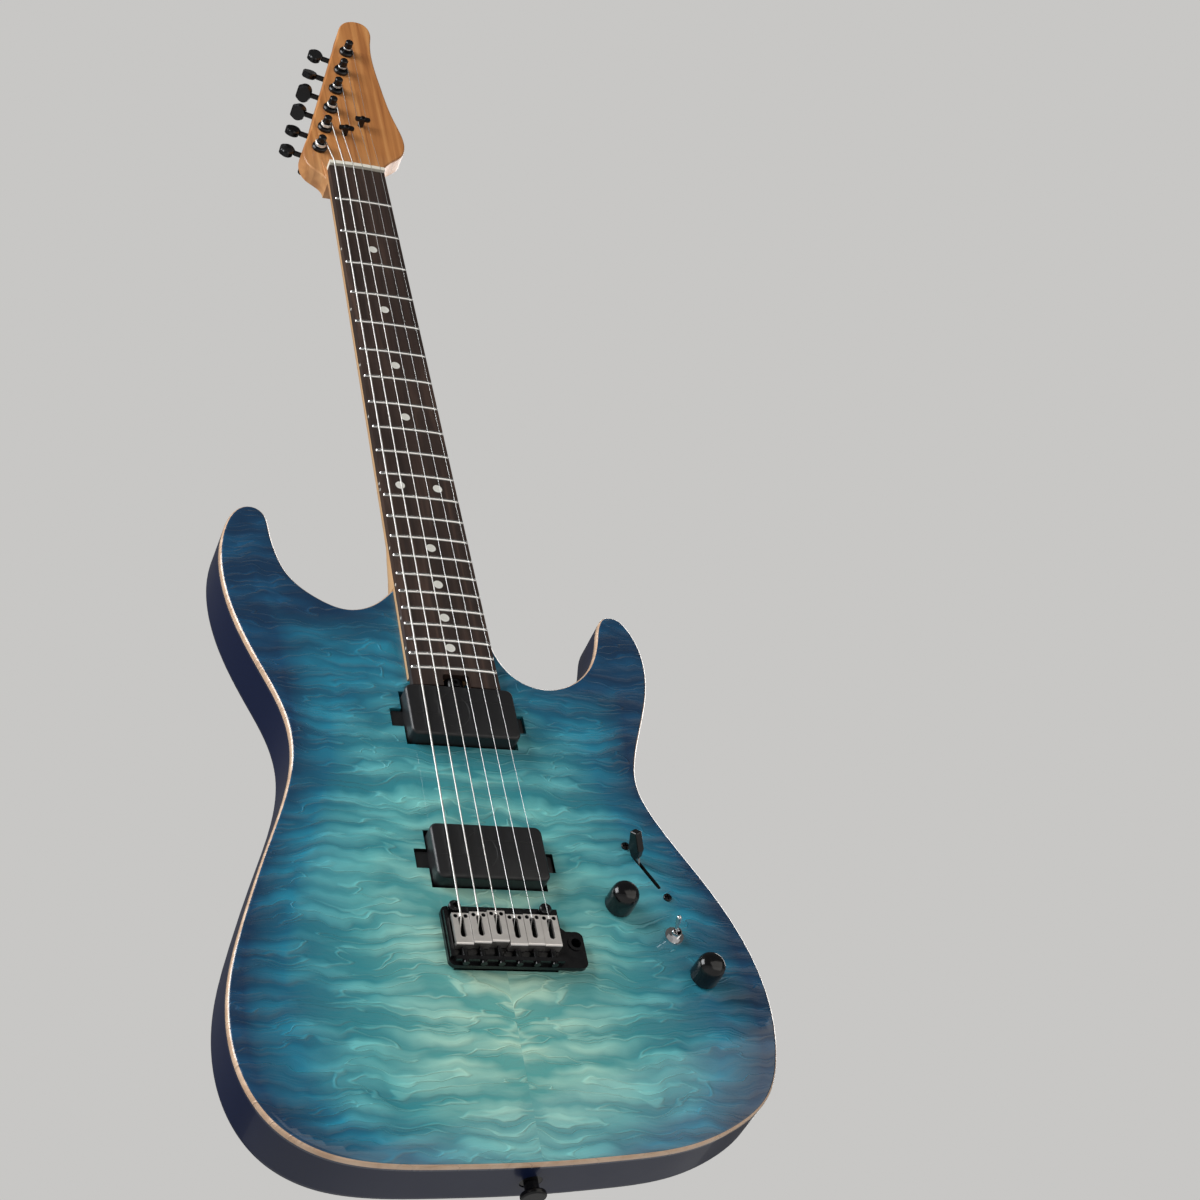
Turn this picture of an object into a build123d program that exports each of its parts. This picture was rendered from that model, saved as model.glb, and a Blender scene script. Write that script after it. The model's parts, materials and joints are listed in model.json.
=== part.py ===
"""Solid-body electric guitar with a bolt-on neck, two pickups and a floating tremolo.

Millimetres. +Z runs up the neck, +X to the treble side and +Y to the back, so the strings face -Y.
The origin is the seat of the end strap pin. "h" is the height above the body's front face.
"""

import os
from math import atan2, cos, degrees, radians, sin

from build123d import *

# ---------------------------------------------------------------- clearances
RUNNING = 0.05          # radial gap of a turning fit
SEAT_GAP = 0.2          # gap round a piece that drops into a pocket
APART = 0.3             # least gap between pieces that move past each other

# ---------------------------------------------------------------- body
BODY_DEPTH = 43.0
CAP_DEPTH = 6.0
FRONT_ROUND = 2.5
BACK_ROUND = 7.0
FACE_Y = -BODY_DEPTH / 2

# Half outline points, from the neck's bass side round the body to its treble side.
BASS_HORN = [(-28.5, 399.5), (-43, 386.5), (-60, 381.8), (-78, 389), (-94, 404.5), (-101, 425),
             (-103.2, 444), (-105.2, 455.2), (-110.5, 460.3), (-118, 460.3), (-125.2, 454.8),
             (-131.3, 444), (-136.8, 424), (-138, 400)]
BASS_SIDE = [(-133.5, 369), (-121.5, 331), (-110.8, 298), (-108.7, 274), (-113.5, 247), (-131, 201),
             (-150.5, 151), (-163, 110), (-166, 79), (-160.5, 47), (-145.5, 22), (-121, 6)]
BOTTOM = [(-92, -0.3), (-50, -1.5), (0, -0.4), (50, 3.2), (90, 9), (123, 22)]
TREBLE_SIDE = [(147, 41), (160, 71), (163.7, 100), (158.5, 141), (142, 184), (119.5, 228),
               (111.3, 256), (116, 282), (129.5, 318)]
TREBLE_HORN = [(137, 351), (135.6, 371.5), (131.3, 383.8), (125, 391.2), (116.2, 391.4), (110.8, 384.5),
               (107, 372), (97.5, 349), (80.5, 333), (62, 328.4), (45.5, 335), (36.5, 347.5), (31.5, 366)]

# ---------------------------------------------------------------- scale and neck
SCALE = 647.7
FRET_COUNT = 22
NUT_Z = 797.5
NUT_WIDTH = 42.0
BOARD_END_WIDTH = 57.3
BOARD_PAST_LAST_FRET = 13.3
BOARD_DEPTH = 6.0
BOARD_BACK_H = 3.0
BOARD_RADIUS = 406.4
FRET_WIDTH = 2.6
FRET_HEIGHT = 1.1
FRET_TANG = 1.6
FRET_INSET = 0.4
FRET_TANG_WIDTH = 0.6
WHEEL_RADIUS = 7.2
WHEEL_THICK = 6.0
WHEEL_NOTCH_HALF = 8.9
ROD_RADIUS = 3.0
DOT_RADIUS = 3.2
SIDE_DOT_RADIUS = 1.0
DOT_DEPTH = 1.5
DOT_FRETS = [3, 5, 7, 9, 12, 15, 17, 19, 21]
OCTAVE_DOT_X = 12.9
HEEL_DEPTH = 19.0
HEEL_TOP_Z = 402.0
HEEL_BLEND = 34.0
SHAFT_DEPTH_LOW = 17.2
SHAFT_DEPTH_NUT = 15.0
NUT_THICK = 3.3
NUT_ABOVE_BOARD = 2.4

# ---------------------------------------------------------------- headstock and tuners
HEAD_FACE_H = -0.5
HEAD_DEPTH = 14.5
HEAD_LEAN = radians(16.9)
HEAD_EDGE_START = (-38.3, 12.0)
HEAD_EDGE_LENGTH = 176.0
POST_FROM_EDGE = 10.2
FIRST_POST_ALONG = 20.5
POST_PITCH = 25.0
POST_RADIUS = 3.0
POST_TOP_H = 10.6
POST_HOLE_RADIUS = 5.0
BUSHING_RADIUS = 5.6
BUSHING_HEIGHT = 2.6
WRAP_H = 5.4
TREE_LONG = 11.5
TREE_H = 5.0
TREE_EASE = 0.4
HOUSING_LONG = 22.0
HOUSING_WIDE = 19.0
HOUSING_DEPTH = 9.0
HOUSING_WALL = 1.4
WORM_OFFSET = 9.0
WORM_RADIUS = 2.2
BUTTON_SHAFT_RADIUS = 2.0
BUTTON_REACH = 15.5
BUTTON_LONG = 17.0
BUTTON_DEEP = 11.5
BUTTON_THICK = 4.6
BUTTON_TURNS = [15, 20, 75, 85, 25, 10]
GEAR_RATIO = 18

# ---------------------------------------------------------------- strings
STRING_RADII = [0.58, 0.46, 0.33, 0.21, 0.165, 0.13]
NUT_STRING_SPAN = 35.0
BRIDGE_STRING_SPAN = 54.0
STRING_OVER_FRET_NUT = 0.5
STRING_OVER_BOARD_BRIDGE = 4.3
STRING_GAP = 0.1
STRING_BEND = 1.06
BREAK_BACK = 1.2

# ---------------------------------------------------------------- pickups
COVER_LONG = 70.0
COVER_WIDE = 38.0
COVER_TOP_H = 10.2
COVER_WALL = 1.5
COVER_ROUND = 3.0
PICKUP_SKIRT_H = -12.0
PICKUP_BASE_DEPTH = 2.0
EAR_REACH = 43.0
EAR_WIDE = 12.5
EAR_H = -4.0
EAR_DEPTH = 1.5
PICKUP_CAVITY_DEPTH = 19.0
NECK_PICKUP_GAP = 1.2
BRIDGE_PICKUP_FROM_SADDLE = 46.0
PICKUP_SCREW_RADIUS = 1.3

# ---------------------------------------------------------------- tremolo
SADDLE_LINE_Z = NUT_Z - SCALE - 0.6
PIVOT_FROM_SADDLE = 8.3
STUD_SPACING = 56.0
PLATE_GAP = 2.6
PLATE_THICK = 3.0
PLATE_FRONT = 1.6
PLATE_LENGTH = 39.6
PLATE_HALF = 36.0
WING_REACH = 49.0
WING_LENGTH = 24.5
RIM_HEIGHT = 3.0
RIM_THICK = 2.4
LIP_HEIGHT = 4.4
LIP_THICK = 2.4
LIP_FROM_REAR = 1.6
STUD_NECK_RADIUS = 2.6
STUD_NOTCH_CLEAR = 0.7
STUD_HEAD_RADIUS = 3.7
STUD_HEAD_HEIGHT = 2.4
STUD_THREAD_RADIUS = 3.4
STUD_DEPTH = 21.0
ANCHOR_RADIUS = 5.0
SADDLE_WIDE = 10.45
SADDLE_LONG = 20.6
SADDLE_THICK = 2.2
SADDLE_SLOT = 3.4
SADDLE_STAGGER = [0.0, 0.7, 1.6, -0.6, 0.0, 0.0]
HEIGHT_SCREW_RADIUS = 1.3
INTONATION_SCREW_RADIUS = 1.1
BLOCK_HALF = 30.5
BLOCK_THICK = 13.0
BLOCK_BELOW_PLATE = 36.0
BLOCK_FRONT_FROM_PIVOT = 11.0
BLOCK_STRING_BORE = 1.2
BALL_RADIUS = 2.0
ARM_SOCKET_RADIUS = 4.9
ARM_BORE_RADIUS = 3.1
ARM_SOCKET_DEPTH = 13.0
ARM_X = 43.7
ARM_FROM_PIVOT = 21.5
DIVE_DEG = 15.0
RAISE_DEG = 2.5

# ---------------------------------------------------------------- tremolo cavity and springs
BLOCK_SWING_REAR = 13.5
BLOCK_SWING_FRONT = 3.4
SPRING_CAVITY_HALF = 36.0
SPRING_CAVITY_TOP = 92.0
SPRING_CAVITY_DEPTH = 17.0
SPRING_RADIUS = 3.8
SPRING_WIRE = 0.6
SPRING_SPACING = 10.8
SPRING_BELOW_BLOCK = 1.2
SPRING_COIL_LENGTH = 66.0
CLAW_FROM_PIVOT = 74.0
CLAW_THICK = 2.4
CLAW_HALF = 26.0
CLAW_SCREW_X = 20.0
CLAW_SCREW_RADIUS = 2.2
CLAW_SCREW_LENGTH = 46.0
COVER_PLATE_THICK = 1.8
COVER_MARGIN = 6.0
COVER_SCREW_RADIUS = 1.2

# ---------------------------------------------------------------- controls
CONTROL_CAVITY = [(64.5, 94), (64.5, 190), (82, 223), (103, 221), (128, 177), (145, 137), (147, 102),
                  (134, 86), (78, 86)]
CONTROL_CORNER = 7.0
FRONT_WALL = 7.0
VOLUME_AT = (79.0, 167.0)
TONE_AT = (123.7, 119.0)
POT_RADIUS = 12.0
POT_DEPTH = 9.0
POT_BUSHING_RADIUS = 4.7
POT_SHAFT_RADIUS = 3.0
POT_NUT_RADIUS = 6.3
POT_NUT_HEIGHT = 2.4
KNOB_RADIUS = 8.9
KNOB_HEIGHT = 17.4
KNOB_GAP = 0.8
KNOB_TOP_ROUND = 3.0
SWITCH_AT = (102.7, 191.9)
SWITCH_LEAN = radians(61.1)
SWITCH_SCREW_SPACING = 41.3
SWITCH_SLOT_LONG = 27.0
SWITCH_SLOT_WIDE = 2.6
SWITCH_PIVOT_DEPTH = 16.0
SWITCH_TILT = 31.0
SWITCH_LEVER_THICK = 1.2
SWITCH_LEVER_WIDE = 5.0
SWITCH_TIP_START = 20.8
SWITCH_TIP_LONG = 18.0
TOGGLE_AT = (110.9, 146.8)
TOGGLE_BUSHING_RADIUS = 3.1
TOGGLE_BUSHING_TOP = 5.4
TOGGLE_WASHER_RADIUS = 5.8
TOGGLE_TILT = 13.0
TOGGLE_LEVER_LONG = 15.5
TOGGLE_PIVOT_H = 1.0
JACK_Z = 100.0
JACK_H = -24.0
JACK_SIDE_X = 163.7
JACK_RING_RADIUS = 13.0
JACK_BORE_RADIUS = 3.25
JACK_SLEEVE_RADIUS = 4.7
BATTERY_AT = (92.2, 122.0)
BATTERY_SIZE = (26.0, 17.0, 48.0)

# ---------------------------------------------------------------- strap pins and neck screws
PIN_NECK_RADIUS = 4.2
PIN_NECK_LENGTH = 7.0
PIN_HEAD_RADIUS = 7.5
PIN_HEAD_LENGTH = 3.5
PIN_FLANGE_RADIUS = 6.4
PIN_FLANGE_DEPTH = 1.5
HORN_PIN_AT = (-119.0, 427.0)
NECK_SCREW_X = 18.0
NECK_SCREW_ROWS = (334.0, 359.0)
NECK_SCREW_RADIUS = 2.2
FERRULE_RADIUS = 7.0
FERRULE_DEPTH = 4.0

# ---------------------------------------------------------------- sizes that follow from the ones above
BOARD_TOP_H = BOARD_BACK_H + BOARD_DEPTH
BACK_H = -BODY_DEPTH
HEAD_BACK_H = HEAD_FACE_H - HEAD_DEPTH
HEEL_H = BOARD_BACK_H - HEEL_DEPTH
PIVOT_Z = SADDLE_LINE_Z + PIVOT_FROM_SADDLE
PLATE_TOP_H = PLATE_GAP + PLATE_THICK
PIVOT_H = PLATE_GAP + PLATE_THICK / 2
PLATE_FRONT_Z = PIVOT_Z + PLATE_FRONT
PLATE_REAR_Z = PLATE_FRONT_Z - PLATE_LENGTH
BLOCK_FRONT_Z = PIVOT_Z - BLOCK_FRONT_FROM_PIVOT
BLOCK_REAR_Z = BLOCK_FRONT_Z - BLOCK_THICK
BLOCK_END_H = PLATE_GAP - BLOCK_BELOW_PLATE
SPRING_H = BLOCK_END_H - SPRING_BELOW_BLOCK
GEAR_RADIUS = WORM_OFFSET - WORM_RADIUS - APART
CLAW_Z = PIVOT_Z + CLAW_FROM_PIVOT
SPRING_CAVITY_Z = (BLOCK_REAR_Z - BLOCK_SWING_REAR, PIVOT_Z + SPRING_CAVITY_TOP)
SWITCH_ALONG = Vector(cos(SWITCH_LEAN), 0, -sin(SWITCH_LEAN))


def fret_z(number):
    """Height up the neck of a fret, by the twelfth-root rule."""
    return NUT_Z - SCALE * (1 - 2 ** (-number / 12))


BOARD_END_Z = fret_z(FRET_COUNT) - BOARD_PAST_LAST_FRET
ROD_H = BOARD_BACK_H - ROD_RADIUS - SEAT_GAP
HEEL_END_Z = BOARD_END_Z + WHEEL_THICK + 2.6
NECK_PICKUP_Z = BOARD_END_Z - NECK_PICKUP_GAP - COVER_WIDE / 2
BRIDGE_PICKUP_Z = SADDLE_LINE_Z + BRIDGE_PICKUP_FROM_SADDLE


def half_width(z):
    """Half the neck's width at a height up the neck."""
    share = (NUT_Z - z) / (NUT_Z - BOARD_END_Z)
    return (NUT_WIDTH + (BOARD_END_WIDTH - NUT_WIDTH) * share) / 2


# ---------------------------------------------------------------- helpers
def facing(x=0.0, z=0.0, h=0.0):
    """A working plane parallel to the front face, looking out of it, with its Y up the neck."""
    return Plane(origin=(x, FACE_Y - h, z), x_dir=(1, 0, 0), z_dir=(0, -1, 0))


def slab(sketch, low, high, x=0.0, z=0.0):
    """A flat shape drawn on the front face, from one height to another."""
    return extrude(facing(x, z, low) * sketch, amount=high - low, dir=(0, -1, 0))


def post(radius, low, high, x=0.0, z=0.0):
    """A round bar that stands on the front face."""
    return slab(Circle(radius), low, high, x, z)


def bar(wide, long, low, high, x=0.0, z=0.0, corner=0.0):
    """A rectangular bar on the front face, with its corners rounded if asked."""
    shape = RectangleRounded(wide, long, corner) if corner else Rectangle(wide, long)
    return slab(shape, low, high, x, z)


def rod(start, end, radius):
    """A round bar between two points."""
    a, b = Vector(*start), Vector(*end)
    return extrude(Plane(origin=a, z_dir=b - a) * Circle(radius), amount=(b - a).length)


def at(x, h, z):
    """A point by its height above the front face."""
    return (x, FACE_Y - h, z)


def save(name, *pieces):
    """Writes one node, made of one or more separate solids."""
    solids = [solid for piece in pieces for solid in piece.solids()]
    export_step(Compound(solids), f"parts/{name}.step")


def cross_cut(x, z, h, wide=4.2, deep=1.0):
    """The crossed slots of a screw head."""
    cut = bar(wide, 0.8, h - deep, h + 1, x, z)
    return cut + bar(0.8, wide, h - deep, h + 1, x, z)


def screw(x, z, head_h, end_h, radius, head_radius, head_height):
    """A cross-head screw that goes in along the front face's normal, from either side."""
    outward = 1 if head_h > end_h else -1
    low, high = sorted((head_h, head_h + outward * head_height))
    head = post(head_radius, low, high, x, z)
    rim = head.edges().filter_by(GeomType.CIRCLE).sort_by(Axis.Y)
    head = fillet(rim[0 if outward > 0 else -1], head_height * 0.6)
    top = head_h + outward * head_height
    slot = cross_cut(x, z, top) if outward > 0 else cross_cut(x, z, top + 1.0)
    shank = post(radius, *sorted((head_h, end_h)), x, z)
    return head - slot + shank


# ---------------------------------------------------------------- body
def body_outline():
    """The body's outline, closed under the neck."""
    points = BASS_HORN + BASS_SIDE + BOTTOM + TREBLE_SIDE + TREBLE_HORN
    edge = Spline(*points)
    return make_face(edge + Line(points[-1], points[0]))


def neck_pocket():
    """The space the neck's heel drops into, open where the neck leaves the body."""
    low, high = HEEL_END_Z - SEAT_GAP, HEEL_TOP_Z + 20
    wide_low, wide_high = half_width(low) + SEAT_GAP, half_width(high) + SEAT_GAP
    shape = Polygon((-wide_low, low), (wide_low, low), (wide_high, high), (-wide_high, high), align=None)
    return slab(shape, HEEL_H, BOARD_TOP_H)


def pickup_cavity(z):
    """A pickup's cavity, with a shelf for the ear at each end."""
    deep = bar(COVER_LONG + 2, COVER_WIDE + 2, -PICKUP_CAVITY_DEPTH, 1, 0, z, 4)
    ears = bar(2 * EAR_REACH + 1, EAR_WIDE + 1, EAR_H - EAR_DEPTH, 1, 0, z, 3)
    return deep + ears


def wheel_well():
    """Room for the truss rod wheel, between the neck's heel and the neck pickup."""
    middle = (BOARD_END_Z - 2 + HEEL_END_Z) / 2
    return bar(2 * WHEEL_NOTCH_HALF, HEEL_END_Z - BOARD_END_Z + 3, ROD_H - WHEEL_RADIUS - 2, 1, 0, middle)


def tremolo_cavity():
    """The opening through the body for the sustain block, and the springs' cavity in the back."""
    rear, front = BLOCK_REAR_Z - BLOCK_SWING_REAR, BLOCK_FRONT_Z + BLOCK_SWING_FRONT
    through = bar(2 * BLOCK_HALF + 3, front - rear, BACK_H - 1, 1, 0, (rear + front) / 2, 2)
    low, high = SPRING_CAVITY_Z
    back = bar(2 * SPRING_CAVITY_HALF, high - low, BACK_H - 1, BACK_H + SPRING_CAVITY_DEPTH,
               0, (low + high) / 2, 5)
    return through + back


def spring_cover_shape(gap=0.0):
    """The spring cover's outline, smaller by a gap."""
    low, high = SPRING_CAVITY_Z
    margin = 2 * (COVER_MARGIN - gap)
    return Pos(0, (low + high) / 2) * RectangleRounded(
        2 * SPRING_CAVITY_HALF + margin, high - low + margin, 8)


def control_shape(margin):
    """The control cavity's outline, grown by a margin."""
    corners = Polygon(*CONTROL_CAVITY, align=None)
    smooth = fillet(corners.vertices(), CONTROL_CORNER)
    return offset(smooth, margin) if margin else smooth


def cover_screw_places():
    """Where the screws of the two back covers go."""
    low, high = SPRING_CAVITY_Z
    side = SPRING_CAVITY_HALF + COVER_MARGIN / 2
    rows = (low - COVER_MARGIN / 2 + 4, (low + high) / 2, high + COVER_MARGIN / 2 - 4)
    spring = [(x, z) for x in (-side, side) for z in rows]
    rim = control_shape(COVER_MARGIN / 2).wire()
    control = [(p.X, p.Y) for p in (rim.position_at(t / 5 + 0.06) for t in range(5))]
    return spring + control


def control_cavity():
    """The cavity for the controls, its cover's ledge, and the holes for each control."""
    cut = slab(control_shape(0), BACK_H - 1, -FRONT_WALL)
    for x, z in (VOLUME_AT, TONE_AT):
        cut += post(POT_BUSHING_RADIUS + RUNNING, -FRONT_WALL - 1, 1, x, z)
    cut += post(TOGGLE_BUSHING_RADIUS + RUNNING, -FRONT_WALL - 1, 1, *TOGGLE_AT)
    turn = Rot(0, 0, -degrees(SWITCH_LEAN))
    cut += slab(turn * SlotOverall(SWITCH_SLOT_LONG, SWITCH_SLOT_WIDE), -FRONT_WALL - 1, 1, *SWITCH_AT)
    for x, z in switch_screw_places():
        cut += post(1.6 + RUNNING, -FRONT_WALL - 1, 1, x, z)
    return cut


def switch_screw_places():
    """The two screws of the blade switch, in line with its slot."""
    half = SWITCH_SCREW_SPACING / 2
    return [(SWITCH_AT[0] + side * half * SWITCH_ALONG.X, SWITCH_AT[1] + side * half * SWITCH_ALONG.Z)
            for side in (-1, 1)]


def jack_holes():
    """The flat recess for the jack's ring and the bore behind it."""
    y = FACE_Y - JACK_H
    seat = rod((JACK_SIDE_X - 3, y, JACK_Z), (JACK_SIDE_X + 5, y, JACK_Z), JACK_RING_RADIUS + SEAT_GAP)
    return seat + rod((JACK_SIDE_X - 30, y, JACK_Z), (JACK_SIDE_X, y, JACK_Z), 9.5)


def wire_channels():
    """Drilled ways for the pickups' leads, from cavity to cavity."""
    h = -PICKUP_CAVITY_DEPTH + 4
    first = rod(at(20, h, NECK_PICKUP_Z), at(20, h, BRIDGE_PICKUP_Z), 3.0)
    return first + rod(at(30, h, BRIDGE_PICKUP_Z), at(78, h, SWITCH_AT[1]), 3.0)


def fastener_holes():
    """The holes that screws, studs and pins fill."""
    holes = rod((0, 0, -5), (0, 0, PIN_FLANGE_DEPTH), PIN_FLANGE_RADIUS + SEAT_GAP)
    holes += rod((0, 0, 0), (0, 0, 26), 2.0)
    x, z = HORN_PIN_AT
    holes += post(PIN_FLANGE_RADIUS + SEAT_GAP, BACK_H - 2, BACK_H + PIN_FLANGE_DEPTH, x, z)
    holes += post(2.0, BACK_H, BACK_H + 26, x, z)
    for x in (-NECK_SCREW_X, NECK_SCREW_X):
        for z in NECK_SCREW_ROWS:
            holes += post(NECK_SCREW_RADIUS, BACK_H - 1, HEEL_H + 1, x, z)
            holes += post(FERRULE_RADIUS, BACK_H - 1, BACK_H + FERRULE_DEPTH, x, z)
    for x in (-STUD_SPACING / 2, STUD_SPACING / 2):
        holes += post(ANCHOR_RADIUS, -STUD_DEPTH, 1, x, PIVOT_Z)
    for x in (-CLAW_SCREW_X, CLAW_SCREW_X):
        end = CLAW_Z + CLAW_THICK + CLAW_SCREW_LENGTH
        holes += rod(at(x, SPRING_H, CLAW_Z), at(x, SPRING_H, end), CLAW_SCREW_RADIUS)
    for x, z in ear_screw_places():
        holes += post(PICKUP_SCREW_RADIUS, -26, EAR_H, x, z)
    for x, z in cover_screw_places():
        holes += post(COVER_SCREW_RADIUS, BACK_H - 1, BACK_H + 12, x, z)
    return holes


def make_body():
    """The maple cap and the back, glued together at the cap's rear face."""
    outline = body_outline()
    cap = slab(outline, -CAP_DEPTH, 0)
    cap = fillet(cap.faces().sort_by(Axis.Y)[0].outer_wire().edges(), FRONT_ROUND)
    back = slab(outline, BACK_H, -CAP_DEPTH)
    back = fillet(back.faces().sort_by(Axis.Y)[-1].outer_wire().edges(), BACK_ROUND)
    recess = slab(spring_cover_shape(), BACK_H - 1, BACK_H + COVER_PLATE_THICK)
    recess += slab(control_shape(COVER_MARGIN), BACK_H - 1, BACK_H + COVER_PLATE_THICK)
    cuts = [neck_pocket(), pickup_cavity(NECK_PICKUP_Z), pickup_cavity(BRIDGE_PICKUP_Z), wheel_well(),
            tremolo_cavity(), arm_socket_well(), control_cavity(), jack_holes(), wire_channels(), recess,
            fastener_holes()]
    for cut in cuts:
        cap -= cut
        back -= cut
    save("body_top", cap)
    save("body_back", back)


def make_back_covers():
    """The two black plates let into the back, and their screws."""
    low = BACK_H
    high = BACK_H + COVER_PLATE_THICK
    spring = slab(spring_cover_shape(SEAT_GAP), low, high)
    control = slab(control_shape(COVER_MARGIN - SEAT_GAP), low, high)
    screws = []
    for x, z in cover_screw_places():
        hole = post(COVER_SCREW_RADIUS, low - 1, high + 1, x, z)
        spring -= hole
        control -= hole
        screws.append(screw(x, z, low, low + 12, COVER_SCREW_RADIUS, 2.6, 1.2))
    save("spring_cover", spring)
    save("control_cover", control)
    save("cover_screws", *screws)


# ---------------------------------------------------------------- neck
def neck_section(z, depth, top_h, boxy, wider=0.0, points=9):
    """A cross-section of the neck: flat on top and round below, squarer as boxy grows."""
    half = half_width(min(z, NUT_Z)) + wider
    rounds = []
    for i in range(points):
        turn = radians(180 * i / (points - 1))
        side, down = cos(turn), sin(turn)
        across = half * abs(side) ** (2 / boxy) * (1 if side >= 0 else -1)
        rounds.append((across, FACE_Y - top_h + depth * abs(down) ** (2 / boxy), z))
    belly = Spline(*[Vector(*p) for p in rounds])
    return make_face(belly + Line(rounds[-1], rounds[0]))


def head_point(along, inward):
    """A point on the headstock face, by its place along the bass edge and its distance from it."""
    x = HEAD_EDGE_START[0] + along * sin(HEAD_LEAN) + inward * cos(HEAD_LEAN)
    z = NUT_Z + HEAD_EDGE_START[1] + along * cos(HEAD_LEAN) - inward * sin(HEAD_LEAN)
    return x, z


def post_place(index):
    """Where a tuner's post stands, the bass string's first."""
    return head_point(FIRST_POST_ALONG + index * POST_PITCH, POST_FROM_EDGE)


def head_outline():
    """The headstock: a straight bass edge with six tuners, a rounded tip and a slanting treble edge."""
    half = half_width(NUT_Z)
    shoulder = [(-half, -10), (-half - 2.6, -1.5), (-32, 6.5)]
    bass_edge = [head_point(along, 0) for along in (9, 30, 60, 90, 120, 150, 166, HEAD_EDGE_LENGTH)]
    treble = [(17.2, 186.6), (25.5, 190.2), (33.7, 188), (37.3, 181), (36.2, 167), (34.7, 148), (37.2, 112),
              (42.3, 75), (46.6, 47), (42.5, 34), (33, 25), (25, 14.5), (half, -10)]
    points = [(x, NUT_Z + up) for x, up in shoulder] + bass_edge + [(x, NUT_Z + up) for x, up in treble]
    return make_face(Spline(*points) + Line(points[-1], points[0]))


def nut_shelf():
    """The end of the neck under the nut, scooped down to the headstock's face."""
    top, face_h, start = BOARD_BACK_H, HEAD_FACE_H, NUT_Z + NUT_THICK + 0.8
    y_top, y_face, y_low = FACE_Y - top, FACE_Y - face_h, FACE_Y - face_h + 5
    half = half_width(NUT_Z)
    side = (Line((0, y_top, NUT_Z - 8), (0, y_top, start))
            + ThreePointArc((0, y_top, start), (0, y_face - 1.0, start + 3.6), (0, y_face, start + 11))
            + Polyline((0, y_face, start + 11), (0, y_low, start + 11), (0, y_low, NUT_Z - 8),
                       (0, y_top, NUT_Z - 8)))
    return extrude(make_face(side), amount=half, both=True)


def heel_block():
    """The squared end of the neck that fills the body's pocket."""
    low, high = HEEL_END_Z, HEEL_TOP_Z
    a, b = half_width(low), half_width(high)
    return slab(Polygon((-a, low), (a, low), (b, high), (-b, high), align=None), HEEL_H, BOARD_BACK_H)


def make_neck():
    """The one-piece maple neck: heel, shaft and headstock, with its holes and rod channel."""
    shaft_low, shaft_high = HEEL_TOP_Z + HEEL_BLEND, NUT_Z - 12
    blend = HEEL_TOP_Z + HEEL_BLEND / 2
    heel_join = loft([neck_section(HEEL_TOP_Z - 2, HEEL_DEPTH - 0.01, BOARD_BACK_H, 9),
                      neck_section(blend, SHAFT_DEPTH_LOW + 0.6, BOARD_BACK_H, 3.6),
                      neck_section(shaft_low, SHAFT_DEPTH_LOW, BOARD_BACK_H, 2.3)])
    shaft = loft([neck_section(shaft_low, SHAFT_DEPTH_LOW, BOARD_BACK_H, 2.3),
                  neck_section(shaft_high, SHAFT_DEPTH_NUT, BOARD_BACK_H, 2.3)])
    head_join = loft([neck_section(shaft_high, SHAFT_DEPTH_NUT, BOARD_BACK_H, 2.3),
                      neck_section(NUT_Z + 16, HEAD_DEPTH, HEAD_FACE_H, 6, 1.5)])
    head = slab(head_outline(), HEAD_BACK_H, HEAD_FACE_H)
    head = fillet(head.faces().sort_by(Axis.Y)[0].outer_wire().edges(), 1.2)
    neck = heel_block() + heel_join + shaft + head_join + head + nut_shelf()
    channel_end = NUT_Z - 20
    channel = bar(2 * ROD_RADIUS + 2 * SEAT_GAP, channel_end - HEEL_END_Z + 2, ROD_H - ROD_RADIUS - SEAT_GAP,
                  BOARD_BACK_H + 1, 0, (channel_end + HEEL_END_Z - 2) / 2)
    neck -= channel
    for index in range(6):
        neck -= post(POST_HOLE_RADIUS, HEAD_BACK_H - 1, HEAD_FACE_H + 1, *post_place(index))
    for x in (-NECK_SCREW_X, NECK_SCREW_X):
        for z in NECK_SCREW_ROWS:
            neck -= post(NECK_SCREW_RADIUS, HEEL_H - 1, BOARD_BACK_H - 5, x, z)
    for x, z in tree_places():
        neck -= post(1.2, HEAD_FACE_H - 9, HEAD_FACE_H + 1, x, z)
    save("neck", neck)
    save("truss_rod", rod(at(0, ROD_H, BOARD_END_Z + 0.8), at(0, ROD_H, channel_end - 1), ROD_RADIUS))


def board_blank():
    """The fingerboard before its slots and holes: tapered, with a crowned face."""
    low, high = BOARD_END_Z, NUT_Z
    a, b = half_width(low), half_width(high)
    shape = Polygon((-a, low), (a, low), (b, high), (-b, high), align=None)
    crown = rod(at(0, BOARD_TOP_H - BOARD_RADIUS, low - 5), at(0, BOARD_TOP_H - BOARD_RADIUS, high + 5),
                BOARD_RADIUS)
    return slab(shape, BOARD_BACK_H, BOARD_TOP_H + 1) & crown


def crowned(outline, z, inset):
    """Sweeps an outline across the board at a fret, along the board's curve."""
    centre_y = FACE_Y - BOARD_TOP_H + BOARD_RADIUS
    sweep = 2 * degrees(atan2(half_width(z) - inset, BOARD_RADIUS))
    axis = Axis((0, centre_y, z), (0, 0, 1))
    return revolve(make_face(outline).rotate(axis, -sweep / 2), axis, sweep)


def fret_wire(z):
    """One fret: a half-round crown on the board's curve, with a tang below it."""
    foot_y = FACE_Y - BOARD_TOP_H
    half, tang, deep = FRET_WIDTH / 2, FRET_TANG_WIDTH / 2, foot_y + FRET_TANG
    crown = ThreePointArc((0, foot_y, z - half), (0, foot_y - FRET_HEIGHT, z), (0, foot_y, z + half))
    foot = Polyline((0, foot_y, z + half), (0, foot_y, z + tang), (0, deep, z + tang),
                    (0, deep, z - tang), (0, foot_y, z - tang), (0, foot_y, z - half))
    return crowned(crown + foot, z, FRET_INSET)


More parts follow.
